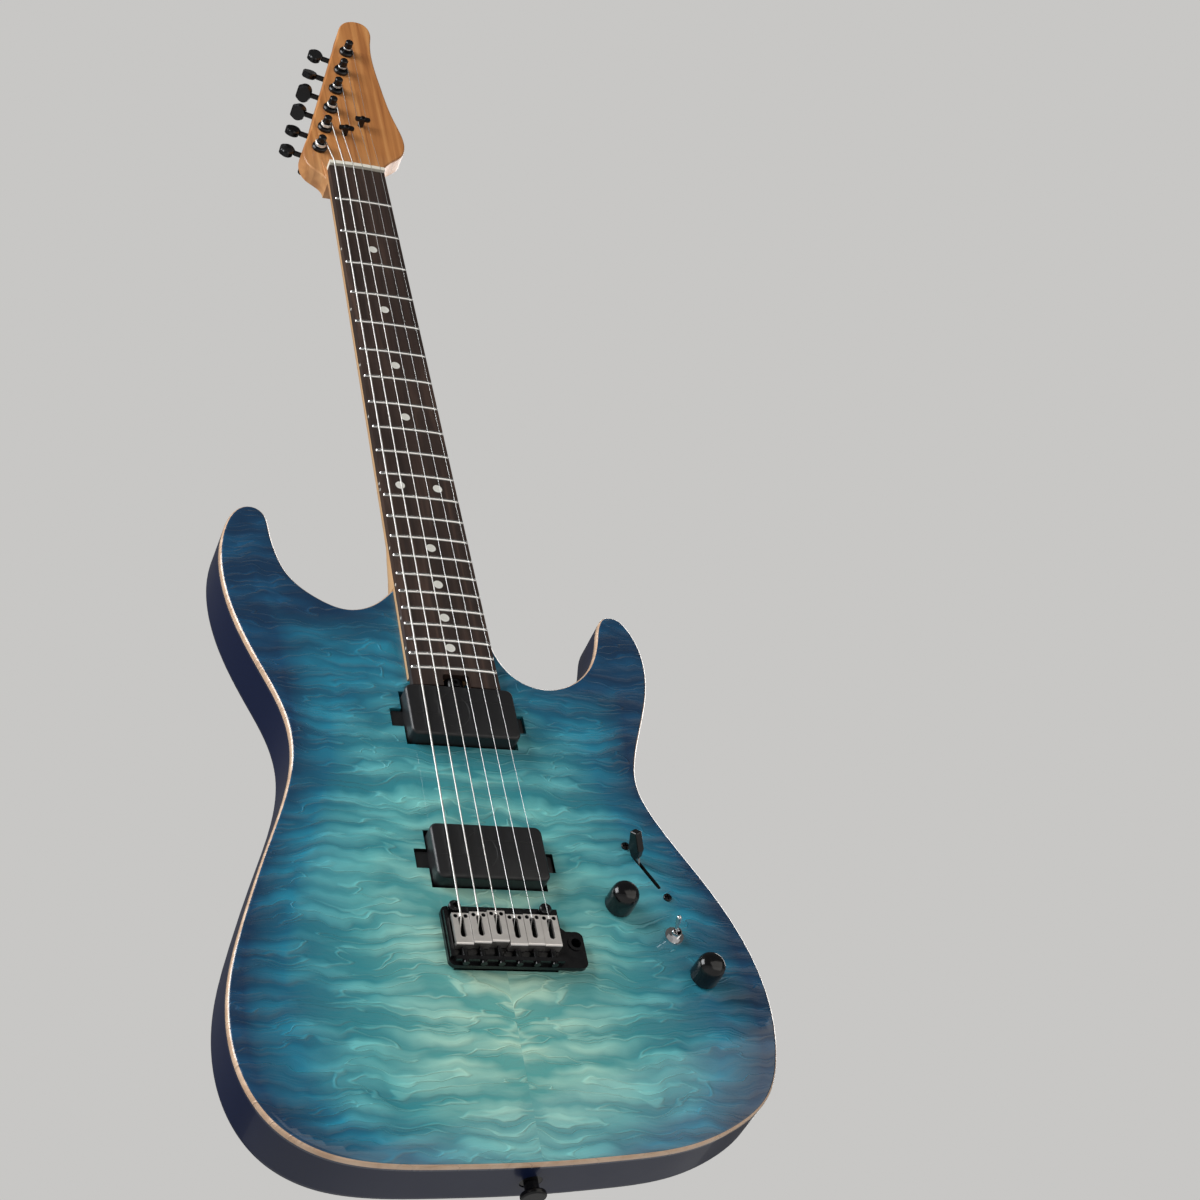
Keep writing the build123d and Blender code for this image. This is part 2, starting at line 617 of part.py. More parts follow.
def fret_slot(z):
    """The saw cut in the board that a fret's tang fills."""
    tang, deep, above = FRET_TANG_WIDTH / 2, FACE_Y - BOARD_TOP_H + FRET_TANG, FACE_Y - BOARD_TOP_H - 1
    cut = Polyline((0, above, z - tang), (0, above, z + tang), (0, deep, z + tang), (0, deep, z - tang),
                   (0, above, z - tang))
    return crowned(cut, z, FRET_INSET)


def dot_places():
    """The places of the face dots, midway between frets, and two at the octave."""
    for number in DOT_FRETS:
        z = (fret_z(number) + fret_z(number - 1)) / 2
        for x in (-OCTAVE_DOT_X, OCTAVE_DOT_X) if number == 12 else (0,):
            yield x, z


def side_dot(number, sideways=0.0):
    """A round pin set into the board's bass edge."""
    z = (fret_z(number) + fret_z(number - 1)) / 2 + sideways
    x, h = -half_width(z), BOARD_BACK_H + 2.4
    return rod(at(x - 2, h, z), at(x + DOT_DEPTH, h, z), SIDE_DOT_RADIUS)


def make_fingerboard():
    """The dark fingerboard, its frets and its dots."""
    blank = board_blank()
    frets = [fret_wire(fret_z(n + 1)) for n in range(FRET_COUNT)]
    drills = [post(DOT_RADIUS, BOARD_TOP_H - DOT_DEPTH - 1, BOARD_TOP_H + 1, x, z) for x, z in dot_places()]
    for number in DOT_FRETS:
        places = (-2.6, 2.6) if number == 12 else (0,)
        drills += [side_dot(number, place) for place in places]
    dots = [drill & blank for drill in drills]
    board = blank - drills
    for number in range(FRET_COUNT):
        board -= fret_slot(fret_z(number + 1))
    notch_deep = HEEL_END_Z - BOARD_END_Z
    board -= bar(2 * WHEEL_NOTCH_HALF, 2 * notch_deep, 0, BOARD_TOP_H + 2, 0, BOARD_END_Z, 2)
    save("fingerboard", board)
    save("frets", *frets)
    save("inlay_dots", *dots)


def make_truss_wheel():
    """The adjusting wheel on the rod's end, with holes round its rim for a pin."""
    start = BOARD_END_Z + 1.6
    wheel = rod(at(0, ROD_H, start), at(0, ROD_H, start + WHEEL_THICK), WHEEL_RADIUS)
    wheel -= rod(at(0, ROD_H, start - 1), at(0, ROD_H, start + WHEEL_THICK + 1), ROD_RADIUS + RUNNING)
    middle = start + WHEEL_THICK / 2
    for turn in range(6):
        angle = radians(60 * turn)
        end = at(2 * WHEEL_RADIUS * sin(angle), ROD_H + 2 * WHEEL_RADIUS * cos(angle), middle)
        near = at(4.6 * sin(angle), ROD_H + 4.6 * cos(angle), middle)
        wheel -= rod(near, end, 1.3)
    save("truss_rod_wheel", wheel)


# ---------------------------------------------------------------- strings' heights and places
def nut_string(index):
    """Where a string leaves the nut."""
    x = -NUT_STRING_SPAN / 2 + index * NUT_STRING_SPAN / 5
    crown = BOARD_TOP_H - x * x / (2 * BOARD_RADIUS)
    return x, crown + FRET_HEIGHT + STRING_OVER_FRET_NUT + STRING_RADII[index], NUT_Z


def bridge_string(index):
    """Where a string breaks over its saddle."""
    x = -BRIDGE_STRING_SPAN / 2 + index * BRIDGE_STRING_SPAN / 5
    crown = BOARD_TOP_H - x * x / (2 * BOARD_RADIUS)
    return x, crown + STRING_OVER_BOARD_BRIDGE, SADDLE_LINE_Z + SADDLE_STAGGER[index]


def make_nut():
    """The nut, with a slot for each string."""
    half = half_width(NUT_Z)
    top = BOARD_TOP_H + NUT_ABOVE_BOARD
    nut = bar(2 * half, NUT_THICK, BOARD_BACK_H, top + 1, 0, NUT_Z + NUT_THICK / 2)
    nut &= rod(at(0, top - BOARD_RADIUS, NUT_Z - 1), at(0, top - BOARD_RADIUS, NUT_Z + 9), BOARD_RADIUS)
    for index, radius in enumerate(STRING_RADII):
        x, h, _ = nut_string(index)
        wide = 2 * (radius + STRING_GAP)
        nut -= bar(wide, 3 * NUT_THICK, h - radius - STRING_GAP, top + 2, x, NUT_Z + NUT_THICK / 2)
    save("nut", nut)


# ---------------------------------------------------------------- tuners
def tuner_frame(index):
    """A plane at a tuner's post: X points out of the headstock's bass edge, Y down along it, Z forward."""
    x, z = post_place(index)
    return Plane(origin=(x, FACE_Y - HEAD_BACK_H, z), x_dir=(-cos(HEAD_LEAN), 0, sin(HEAD_LEAN)),
                 z_dir=(0, -1, 0))


def tuner_housing(index):
    """The sealed gear box behind the headstock, open inside for the gear and the worm."""
    place = tuner_frame(index)
    inner = HOUSING_LONG - 2 * HOUSING_WALL, HOUSING_WIDE - 2 * HOUSING_WALL
    shift = Pos(0, (GEAR_RADIUS - WORM_OFFSET - WORM_RADIUS) / 2)
    box = extrude(place * shift * RectangleRounded(HOUSING_WIDE, HOUSING_LONG, 3), amount=-HOUSING_DEPTH)
    box = fillet(box.faces().sort_by(Axis.Y)[-1].edges(), 1.2)
    room = extrude(place.offset(-HOUSING_WALL) * shift * RectangleRounded(inner[1], inner[0], 1),
                   amount=-(HOUSING_DEPTH - 2 * HOUSING_WALL))
    box -= room
    box -= extrude(place.offset(-HOUSING_WALL - 1) * Circle(POST_RADIUS + RUNNING), amount=HOUSING_WALL + 2)
    worm = worm_axis(index)
    box -= rod(worm(4), worm(HOUSING_WIDE), BUTTON_SHAFT_RADIUS + RUNNING)
    return box


def worm_axis(index):
    """Points along a button's shaft, by their distance out from the post."""
    place = tuner_frame(index)

    def point(out):
        spot = place.from_local_coords(Vector(out, -WORM_OFFSET, -HOUSING_DEPTH / 2))
        return (spot.X, spot.Y, spot.Z)
    return point


def tuner_post(index):
    """The string post, with its gear wheel in the housing."""
    x, z = post_place(index)
    low = HEAD_BACK_H - HOUSING_DEPTH + HOUSING_WALL + APART
    shaft = post(POST_RADIUS, low, POST_TOP_H, x, z)
    shaft = chamfer(shaft.edges().filter_by(GeomType.CIRCLE).sort_by(Axis.Y)[0], 0.6)
    gear_h = HEAD_BACK_H - HOUSING_DEPTH / 2
    shaft += post(GEAR_RADIUS, gear_h - 1.5, gear_h + 1.5, x, z)
    waist = post(POST_RADIUS + 1, WRAP_H - 1.6, WRAP_H + 1.6, x, z)
    waist -= post(POST_RADIUS - 0.4, WRAP_H - 1.6, WRAP_H + 1.6, x, z)
    return shaft - waist


def tuner_button(index):
    """The button with its shaft and plain worm, turned as it was last left."""
    worm = worm_axis(index)
    inner = HOUSING_WIDE / 2 - HOUSING_WALL - APART
    shaft = rod(worm(3.6), worm(BUTTON_REACH + 3), BUTTON_SHAFT_RADIUS)
    screw_part = rod(worm(-inner), worm(inner), WORM_RADIUS)
    start = Vector(*worm(BUTTON_REACH))
    out = Vector(*worm(BUTTON_REACH + 1)) - start
    side = Vector(0, 1, 0).rotate(Axis((0, 0, 0), out), BUTTON_TURNS[index])
    grip_plane = Plane(origin=start, x_dir=out, z_dir=side)
    grip = Pos(BUTTON_DEEP / 2, 0) * Ellipse(BUTTON_DEEP / 2, BUTTON_LONG / 2)
    grip += Pos(BUTTON_DEEP * 0.58, 0) * RectangleRounded(BUTTON_DEEP * 0.84, BUTTON_LONG * 0.8, 3.5)
    grip = extrude(grip_plane * grip, amount=BUTTON_THICK / 2, both=True)
    flats = grip.faces().filter_by(GeomType.PLANE).sort_by(SortBy.AREA)[-2:]
    grip = chamfer([edge for flat in flats for edge in flat.edges()], 0.9)
    return shaft + screw_part + grip


def make_tuners():
    """Six tuners: housings, posts, buttons, and the bushings on the headstock's face."""
    bushings = []
    for index in range(6):
        x, z = post_place(index)
        sleeve = post(POST_HOLE_RADIUS, HEAD_BACK_H, HEAD_FACE_H, x, z)
        flange = post(BUSHING_RADIUS, HEAD_FACE_H, HEAD_FACE_H + BUSHING_HEIGHT, x, z)
        flange = chamfer(flange.edges().filter_by(GeomType.CIRCLE).sort_by(Axis.Y)[0], 0.8)
        bore = post(POST_RADIUS + RUNNING, HEAD_BACK_H - 1, HEAD_FACE_H + 4, x, z)
        bushings.append(sleeve + flange - bore)
        save(f"tuner_post_{index + 1}", tuner_post(index))
        save(f"tuner_button_{index + 1}", tuner_button(index))
    save("tuner_housings", *[tuner_housing(index) for index in range(6)])
    save("tuner_bushings", *bushings)


def tree_places():
    """The two string trees, between the two middle and the two thin strings."""
    for pair, up in (((2, 3), 49.0), ((4, 5), 62.0)):
        xs = [string_side_x(i, NUT_Z + up) for i in pair]
        yield sum(xs) / 2, NUT_Z + up


def post_side(index):
    """Where a string meets its post, on the side toward the treble edge."""
    x, z = post_place(index)
    reach = POST_RADIUS + STRING_GAP + STRING_RADII[index]
    return x + reach, WRAP_H, z


def string_side_x(index, z):
    """A string's place across the headstock, at a height up it."""
    x0, _, z0 = nut_string(index)
    x1, _, z1 = post_side(index)
    return x0 + (x1 - x0) * (z - z0) / (z1 - z0)


def make_string_trees():
    """Two black bars that hold the thin strings down, each on a screwed pillar."""
    trees, screws = [], []
    for x, z in tree_places():
        wing = bar(TREE_LONG, 4.0, TREE_H, TREE_H + 1.6, x, z, 1.2)
        wing += post(2.2, HEAD_FACE_H, TREE_H + 1.6, x, z)
        trees.append(wing - post(1.2, HEAD_FACE_H - 1, TREE_H + 3, x, z))
        screws.append(screw(x, z, TREE_H + 1.6, HEAD_FACE_H - 9, 1.2, 2.3, 1.1))
    save("string_trees", *trees)
    return screws


# ---------------------------------------------------------------- strings
def string_path(index):
    """The string's corners, from its ball in the block to its post."""
    x_low, h_low, z_low = bridge_string(index)
    x_top, h_top, _ = nut_string(index)
    radius = STRING_RADII[index]
    bore_z = BLOCK_FRONT_Z - BLOCK_THICK / 2
    points = [at(x_low, BLOCK_END_H + 5, bore_z), at(x_low, PLATE_TOP_H, bore_z),
              at(x_low, h_low, z_low - BREAK_BACK), at(x_top, h_top, NUT_Z),
              at(x_top, h_top, NUT_Z + NUT_THICK)]
    if index >= 2:
        _, tree_z = list(tree_places())[0 if index < 4 else 1]
        points.append(at(string_side_x(index, tree_z), TREE_H - radius - STRING_GAP - TREE_EASE, tree_z))
    x, h, z = post_side(index)
    return points + [at(x, h, z)]


def make_string(index):
    """One string: ball end, straight runs, and a turn round its post."""
    radius = STRING_RADII[index]
    points = string_path(index)
    wire = rod(points[0], points[1], radius)
    for start, end in zip(points[1:], points[2:]):
        wire += rod(start, end, radius)
        wire += Pos(*start) * Sphere(STRING_BEND * radius)
    wire += Pos(*points[-1]) * Sphere(STRING_BEND * radius)
    x, z = post_place(index)
    ring = Torus(POST_RADIUS + STRING_GAP + radius, radius)
    wire += Pos(*at(x, WRAP_H, z)) * Rot(90, 0, 0) * ring
    ball = rod(points[0], (points[0][0], points[0][1] + 3.5, points[0][2]), BALL_RADIUS - STRING_GAP)
    return wire + ball


# ---------------------------------------------------------------- pickups
def ear_screw_places():
    """The screws through both pickups' ears."""
    x = (COVER_LONG / 2 + EAR_REACH) / 2 + 0.4
    return [(side * x, z) for z in (NECK_PICKUP_Z, BRIDGE_PICKUP_Z) for side in (-1, 1)]


def make_pickup(name, z):
    """A closed cover over a base with an ear at each end."""
    cover = bar(COVER_LONG, COVER_WIDE, PICKUP_SKIRT_H, COVER_TOP_H, 0, z, COVER_ROUND)
    cover = fillet(cover.faces().sort_by(Axis.Y)[0].edges(), 1.4)
    inner = (COVER_LONG - 2 * COVER_WALL, COVER_WIDE - 2 * COVER_WALL)
    cover -= bar(*inner, PICKUP_SKIRT_H - 1, COVER_TOP_H - COVER_WALL, 0, z, COVER_ROUND - COVER_WALL + 0.3)
    gap = SEAT_GAP / 2
    filled = COVER_TOP_H - COVER_WALL - gap
    base = bar(inner[0] - 2 * gap, inner[1] - 2 * gap, PICKUP_SKIRT_H, filled, 0, z, 1.5)
    base += bar(COVER_LONG, COVER_WIDE, PICKUP_SKIRT_H - PICKUP_BASE_DEPTH, PICKUP_SKIRT_H, 0, z, COVER_ROUND)
    ears = bar(2 * EAR_REACH, EAR_WIDE, EAR_H - EAR_DEPTH, EAR_H, 0, z, 2.5)
    ears -= bar(COVER_LONG + 2 * gap, 2 * COVER_WIDE, -40, 20, 0, z)
    low, high = PICKUP_SKIRT_H - PICKUP_BASE_DEPTH, EAR_H
    legs = bar(COVER_LONG + 2 * gap + 1.6, EAR_WIDE - 2, low, high, 0, z)
    legs -= bar(COVER_LONG + 2 * gap, 2 * COVER_WIDE, PICKUP_SKIRT_H, 20, 0, z)
    base += ears + legs
    for x, place in ear_screw_places():
        if place == z:
            base -= post(PICKUP_SCREW_RADIUS, EAR_H - 9, EAR_H + 5, x, z)
    save(f"{name}_pickup_cover", cover)
    save(f"{name}_pickup_base", base)


# ---------------------------------------------------------------- tremolo
def plate_outline():
    """The tremolo's base plate from above, with its wing for the arm and two knife-edge notches."""
    wing_top = PLATE_REAR_Z + WING_LENGTH
    shape = Polygon((-PLATE_HALF, PLATE_REAR_Z), (-PLATE_HALF, PLATE_FRONT_Z), (PLATE_HALF, PLATE_FRONT_Z),
                    (PLATE_HALF, wing_top + 2.5), (PLATE_HALF + 3, wing_top), (WING_REACH, wing_top),
                    (WING_REACH, PLATE_REAR_Z), align=None)
    corners = shape.vertices()
    outer = [v for v in corners if v.X < -PLATE_HALF + 1 or v.X > WING_REACH - 1]
    shape = fillet(outer, 4.0)
    notch = STUD_NECK_RADIUS + STUD_NOTCH_CLEAR
    for x in (-STUD_SPACING / 2, STUD_SPACING / 2):
        shape -= Pos(x, PIVOT_Z) * Circle(notch)
        shape -= Pos(x, PIVOT_Z + notch) * Rectangle(2 * notch, 2 * notch)
    return shape


def make_tremolo_plate():
    """The base plate, with a raised rim on the bass side and a lip behind for the saddle screws."""
    plate = slab(plate_outline(), PLATE_GAP, PLATE_TOP_H)
    rim_long = PLATE_LENGTH - 9
    rim_x = -PLATE_HALF + RIM_THICK / 2 + 0.6
    plate += bar(RIM_THICK, rim_long, PLATE_TOP_H, PLATE_TOP_H + RIM_HEIGHT, rim_x,
                 (PLATE_REAR_Z + PLATE_FRONT_Z) / 2)
    plate += bar(2 * PLATE_HALF - 6, LIP_THICK, PLATE_TOP_H, PLATE_TOP_H + LIP_HEIGHT, 0,
                 PLATE_REAR_Z + LIP_FROM_REAR + LIP_THICK / 2)
    bore_z = BLOCK_FRONT_Z - BLOCK_THICK / 2
    lip_z = PLATE_REAR_Z + LIP_FROM_REAR
    for index in range(6):
        x, _, _ = bridge_string(index)
        plate -= post(BLOCK_STRING_BORE + 0.4, PLATE_GAP - 1, PLATE_TOP_H + 1, x, bore_z)
        plate -= rod(at(x, intonation_h(), lip_z - 1), at(x, intonation_h(), lip_z + LIP_THICK + 1),
                     INTONATION_SCREW_RADIUS)
    plate -= post(ARM_SOCKET_RADIUS, PLATE_GAP - 1, PLATE_TOP_H + 1, ARM_X, PIVOT_Z - ARM_FROM_PIVOT)
    save("tremolo_plate", plate)
    save("arm_socket", make_arm_socket())


def intonation_h():
    """How high the saddle screws run over the face."""
    return PLATE_TOP_H + LIP_HEIGHT - INTONATION_SCREW_RADIUS - 1.0


def make_arm_socket():
    """The tube in the plate's wing that a tremolo arm pushes into."""
    x, z = ARM_X, PIVOT_Z - ARM_FROM_PIVOT
    top = PLATE_TOP_H + 0.8
    tube = post(ARM_SOCKET_RADIUS, PLATE_GAP, top, x, z)
    tube += post(ARM_SOCKET_RADIUS - 0.8, top - ARM_SOCKET_DEPTH, PLATE_GAP, x, z)
    return tube - post(ARM_BORE_RADIUS, top - ARM_SOCKET_DEPTH - 1, top + 1, x, z)


def arm_socket_well():
    """Room in the body for the arm socket as the tremolo swings."""
    x, z = ARM_X, PIVOT_Z - ARM_FROM_PIVOT
    return bar(13, 17, PLATE_TOP_H - ARM_SOCKET_DEPTH - 2, 1, x, z - 1.5, 4)


def make_saddles():
    """Six bent saddles, each with two height screws and one screw to the plate's lip."""
    saddles, heights, lengths = [], [], []
    for index in range(6):
        x, h, z = bridge_string(index)
        top = h - STRING_RADII[index] - STRING_GAP
        front = z + 1.4
        rear = front - SADDLE_LONG
        saddle = bar(SADDLE_WIDE, SADDLE_LONG, top - SADDLE_THICK, top, x, (front + rear) / 2)
        leg = bar(SADDLE_WIDE, SADDLE_THICK, PLATE_TOP_H + 0.4, top, x, rear + SADDLE_THICK / 2)
        saddle = fillet((saddle + leg).edges().filter_by(Axis.X).group_by(Axis.Z)[0].sort_by(Axis.Y)[0], 1.2)
        slot_rear, slot_front = rear + 4.6, z - BREAK_BACK + 0.3
        saddle -= bar(SADDLE_SLOT, slot_front - slot_rear, top - 8, top + 1, x,
                      (slot_rear + slot_front) / 2, 1.6)
        for side in (-1, 1):
            place = x + side * (SADDLE_WIDE / 2 - 2.2)
            saddle -= post(HEIGHT_SCREW_RADIUS, PLATE_TOP_H, top + 1, place, front - 2.0)
            pin = post(HEIGHT_SCREW_RADIUS, PLATE_TOP_H, top - 0.3, place, front - 2.0)
            heights.append(pin - slab(RegularPolygon(0.75, 6), top - 1.6, top + 1, place, front - 2.0))
        saddle -= rod(at(x, intonation_h(), rear - 1), at(x, intonation_h(), rear + SADDLE_THICK + 1),
                      INTONATION_SCREW_RADIUS)
        lip = PLATE_REAR_Z + LIP_FROM_REAR
        shank = rod(at(x, intonation_h(), lip), at(x, intonation_h(), rear + SADDLE_THICK),
                    INTONATION_SCREW_RADIUS)
        lengths.append(shank + rod(at(x, intonation_h(), lip - 1.6), at(x, intonation_h(), lip), 2.0))
        saddles.append(saddle)
    save("saddles", *saddles)
    save("saddle_height_screws", *heights)
    save("intonation_screws", *lengths)


def make_sustain_block():
    """The steel block under the plate, bored for the strings and the springs' hooks."""
    middle = (BLOCK_FRONT_Z + BLOCK_REAR_Z) / 2
    block = bar(2 * BLOCK_HALF, BLOCK_THICK, BLOCK_END_H, PLATE_GAP, 0, middle)
    for index in range(6):
        x, _, _ = bridge_string(index)
        block -= post(BLOCK_STRING_BORE, BLOCK_END_H - 1, PLATE_GAP + 1, x, middle)
        block -= post(BALL_RADIUS, BLOCK_END_H - 1, BLOCK_END_H + 5.2, x, middle)
    for x in spring_xs():
        block -= post(SPRING_WIRE + APART, BLOCK_END_H - 1, BLOCK_END_H + 6, x, middle)
    save("sustain_block", block)


def spring_xs():
    """Where the three springs run."""
    return (-SPRING_SPACING, 0.0, SPRING_SPACING)


def make_springs():
    """Three springs as plain closed tubes with hooked ends, and the claw that anchors them."""
    middle = (BLOCK_FRONT_Z + BLOCK_REAR_Z) / 2
    coil_end = CLAW_Z - 3
    springs, claw = [], bar(2 * CLAW_HALF, CLAW_THICK, SPRING_H - 5, SPRING_H + 5, 0, CLAW_Z + CLAW_THICK / 2)
    for x in spring_xs():
        coil = rod(at(x, SPRING_H, coil_end - SPRING_COIL_LENGTH), at(x, SPRING_H, coil_end), SPRING_RADIUS)
        hook = rod(at(x, SPRING_H, middle), at(x, SPRING_H, coil_end - SPRING_COIL_LENGTH), SPRING_WIRE)
        hook += rod(at(x, SPRING_H, middle), at(x, BLOCK_END_H + 5, middle), SPRING_WIRE)
        hook += Pos(*at(x, SPRING_H, middle)) * Sphere(SPRING_WIRE)
        tail = rod(at(x, SPRING_H, coil_end), at(x, SPRING_H, CLAW_Z + CLAW_THICK + 1.5), SPRING_WIRE)
        springs.append(coil + hook + tail)
        claw -= rod(at(x, SPRING_H, CLAW_Z - 1), at(x, SPRING_H, CLAW_Z + CLAW_THICK + 1), SPRING_WIRE + 0.1)
    screws = []
    for x in (-CLAW_SCREW_X, CLAW_SCREW_X):
        end = CLAW_Z + CLAW_THICK + CLAW_SCREW_LENGTH
        shank = rod(at(x, SPRING_H, CLAW_Z), at(x, SPRING_H, end), CLAW_SCREW_RADIUS)
        head = rod(at(x, SPRING_H, CLAW_Z - 2.6), at(x, SPRING_H, CLAW_Z), 4.0)
        head -= Pos(*at(x, SPRING_H, CLAW_Z - 2.6)) * Box(6.4, 0.9, 2.0)
        screws.append(shank + head)
        claw -= rod(at(x, SPRING_H, CLAW_Z - 1), at(x, SPRING_H, end), CLAW_SCREW_RADIUS)
    save("tremolo_springs", *springs)
    save("spring_claw", claw)
    save("claw_screws", *screws)


def make_studs():
    """Two grooved studs that the plate's knife edges bear on, each in its press-in anchor."""
    studs, anchors = [], []
    collar = 0.9
    head_h = PLATE_TOP_H + 1.6
    for x in (-STUD_SPACING / 2, STUD_SPACING / 2):
        stud = post(STUD_THREAD_RADIUS, -STUD_DEPTH + 3, 0, x, PIVOT_Z)
        stud += post(STUD_THREAD_RADIUS + 0.6, 0.3, collar, x, PIVOT_Z)
        stud += post(STUD_NECK_RADIUS, -1, head_h + 0.5, x, PIVOT_Z)
        head = post(STUD_HEAD_RADIUS, head_h, head_h + STUD_HEAD_HEIGHT, x, PIVOT_Z)
        head = fillet(head.edges().filter_by(GeomType.CIRCLE).sort_by(Axis.Y)[0], 1.2)
        stud += head
        stud -= slab(RegularPolygon(1.7, 6), head_h + 0.6, head_h + 5, x, PIVOT_Z)
        studs.append(stud)
        anchor = post(ANCHOR_RADIUS, -STUD_DEPTH, 0, x, PIVOT_Z)
        anchors.append(anchor - post(STUD_THREAD_RADIUS, -STUD_DEPTH + 2.5, 1, x, PIVOT_Z))
    save("tremolo_studs", *studs)
    save("stud_anchors", *anchors)


# ---------------------------------------------------------------- controls
def make_pots():
    """Two potentiometers below the front wall, their nuts, and their knobs on the shafts."""
    pots, nuts = [], []
    for name, (x, z) in (("volume", VOLUME_AT), ("tone", TONE_AT)):
        case = post(POT_RADIUS, -FRONT_WALL - 1.2 - POT_DEPTH, -FRONT_WALL - 1.2, x, z)
        case += post(POT_BUSHING_RADIUS, -FRONT_WALL - 1.2, POT_NUT_HEIGHT, x, z)
        case += bar(16, 3, -FRONT_WALL - 1.2 - 6, -FRONT_WALL - 1.2 - 5, x, z - POT_RADIUS - 1)
        pots.append(case - post(POT_SHAFT_RADIUS + RUNNING, -FRONT_WALL - 8, 20, x, z))
        nut = post(POT_NUT_RADIUS, 0, 0.5, x, z)
        nut += slab(RegularPolygon(POT_NUT_RADIUS - 0.3, 6), 0.5, POT_NUT_HEIGHT, x, z)
        nuts.append(nut - post(POT_BUSHING_RADIUS, -1, POT_NUT_HEIGHT + 1, x, z))
        top = KNOB_GAP + KNOB_HEIGHT
        knob = post(KNOB_RADIUS, KNOB_GAP, top, x, z)
        knob = fillet(knob.edges().filter_by(GeomType.CIRCLE).sort_by(Axis.Y)[0], KNOB_TOP_ROUND)
        knob -= post(POT_NUT_RADIUS + 0.7, KNOB_GAP - 1, POT_NUT_HEIGHT + 0.8, x, z)
        shaft = post(POT_SHAFT_RADIUS, -FRONT_WALL - 6, top - 4, x, z)
        save(f"{name}_knob", knob + shaft)
    save("control_pots", *pots, *nuts)


def switch_point(along, up):
    """A point in the switch lever's own plane, by its distance along the slot and above the pivot."""
    return Vector(SWITCH_AT[0], FACE_Y + SWITCH_PIVOT_DEPTH, SWITCH_AT[1]) + SWITCH_ALONG * along \
        + Vector(0, -1, 0) * up


def switch_lever_plane():
    """The lever's own plane, leaning to the end of the slot nearest the neck."""
    across = Vector(0, -1, 0).cross(SWITCH_ALONG)
    upright = Plane(origin=switch_point(0, 0), x_dir=SWITCH_ALONG, z_dir=SWITCH_ALONG.cross(Vector(0, -1, 0)))
    return upright, Axis(tuple(switch_point(0, 0)), tuple(across))


def make_blade_switch():
    """The selector switch: frame, lever and pointed tip."""
    turn = Rot(0, 0, -degrees(SWITCH_LEAN))
    x, z = SWITCH_AT
    top = -FRONT_WALL
    frame = slab(turn * RectangleRounded(50, 12, 2), top - 1.4, top, x, z)
    for side in (-1, 1):
        cheek = turn * Pos(0, side * 5.2) * Rectangle(34, 1.4)
        frame += slab(cheek, -30, top - 1.4, x, z)
    frame += slab(turn * Rectangle(42, 11.8), -32, -30, x, z)
    frame -= slab(turn * SlotOverall(SWITCH_SLOT_LONG, SWITCH_SLOT_WIDE), top - 2, top + 1, x, z)
    for place in switch_screw_places():
        frame -= post(1.6, top - 3, top + 1, *place)
    upright, axis = switch_lever_plane()
    frame += extrude(upright * Circle(1.5), amount=5.2, both=True)
    blade = Circle(3.4) + Pos(0, SWITCH_TIP_START / 2) * Rectangle(SWITCH_LEVER_WIDE, SWITCH_TIP_START)
    lever = extrude(upright * blade, amount=SWITCH_LEVER_THICK / 2, both=True)
    lever += extrude(upright * Pos(0, SWITCH_TIP_START + 4) * Rectangle(2.6, 10),
                     amount=SWITCH_LEVER_THICK / 2, both=True)
    lever -= extrude(upright * Circle(1.5 + RUNNING), amount=3, both=True)
    start, end = SWITCH_TIP_START, SWITCH_TIP_START + SWITCH_TIP_LONG
    side = Polygon((-2.2, start), (-4.6, start + 6), (-2.7, end), (2.7, end), (4.6, start + 6), (2.2, start),
                   align=None)
    side = fillet(side.vertices(), 1.0)
    tip = extrude(upright * side, amount=2.6, both=True)
    tip = fillet(tip.edges().filter_by(lambda e: abs((e @ 0 - e @ 1).dot(upright.z_dir)) < 0.01), 1.1)
    tip -= extrude(upright * Pos(0, SWITCH_TIP_START + 4) * Rectangle(2.6, 10),
                   amount=SWITCH_LEVER_THICK / 2, both=True)
    save("blade_switch", frame)
    save("switch_lever", lever.rotate(axis, -SWITCH_TILT))
    save("switch_tip", tip.rotate(axis, -SWITCH_TILT))
    return [screw(px, pz, 0, top - 3, 1.6, 2.7, 1.2) for px, pz in switch_screw_places()]


def make_mini_toggle():
    """The small toggle switch, with its washer and nut, and its lever thrown toward the neck."""
    x, z = TOGGLE_AT
    body = bar(8, 13, -FRONT_WALL - 11, -FRONT_WALL, x, z, 0.5)
    body += post(TOGGLE_BUSHING_RADIUS, -FRONT_WALL, TOGGLE_BUSHING_TOP, x, z)
    washer = post(TOGGLE_WASHER_RADIUS, 0, 0.8, x, z)
    nut = slab(RegularPolygon(4.5, 6), 0.8, 2.8, x, z)
    body += washer + nut
    for side in (-4.5, 0, 4.5):
        body += bar(2, 0.8, -FRONT_WALL - 15, -FRONT_WALL - 11, x, z + side)
    body -= post(2.5, -2, TOGGLE_BUSHING_TOP + 1, x, z)
    lean = Vector(-1, 0, 1).normalized()
    pivot = Vector(*at(x, TOGGLE_PIVOT_H, z))
    out = Vector(0, -1, 0)
    direction = out * cos(radians(TOGGLE_TILT)) + lean * sin(radians(TOGGLE_TILT))
    end = pivot + direction * TOGGLE_LEVER_LONG
    grip_start = pivot + direction * (TOGGLE_LEVER_LONG - 4.5)
    lever = rod(tuple(pivot), tuple(end), 1.1) + rod(tuple(grip_start), tuple(end), 1.5)
    lever += Pos(*end) * Sphere(1.5)
    lever += Pos(*pivot) * Sphere(2.2)
    save("mini_toggle", body)
    save("toggle_lever", lever)


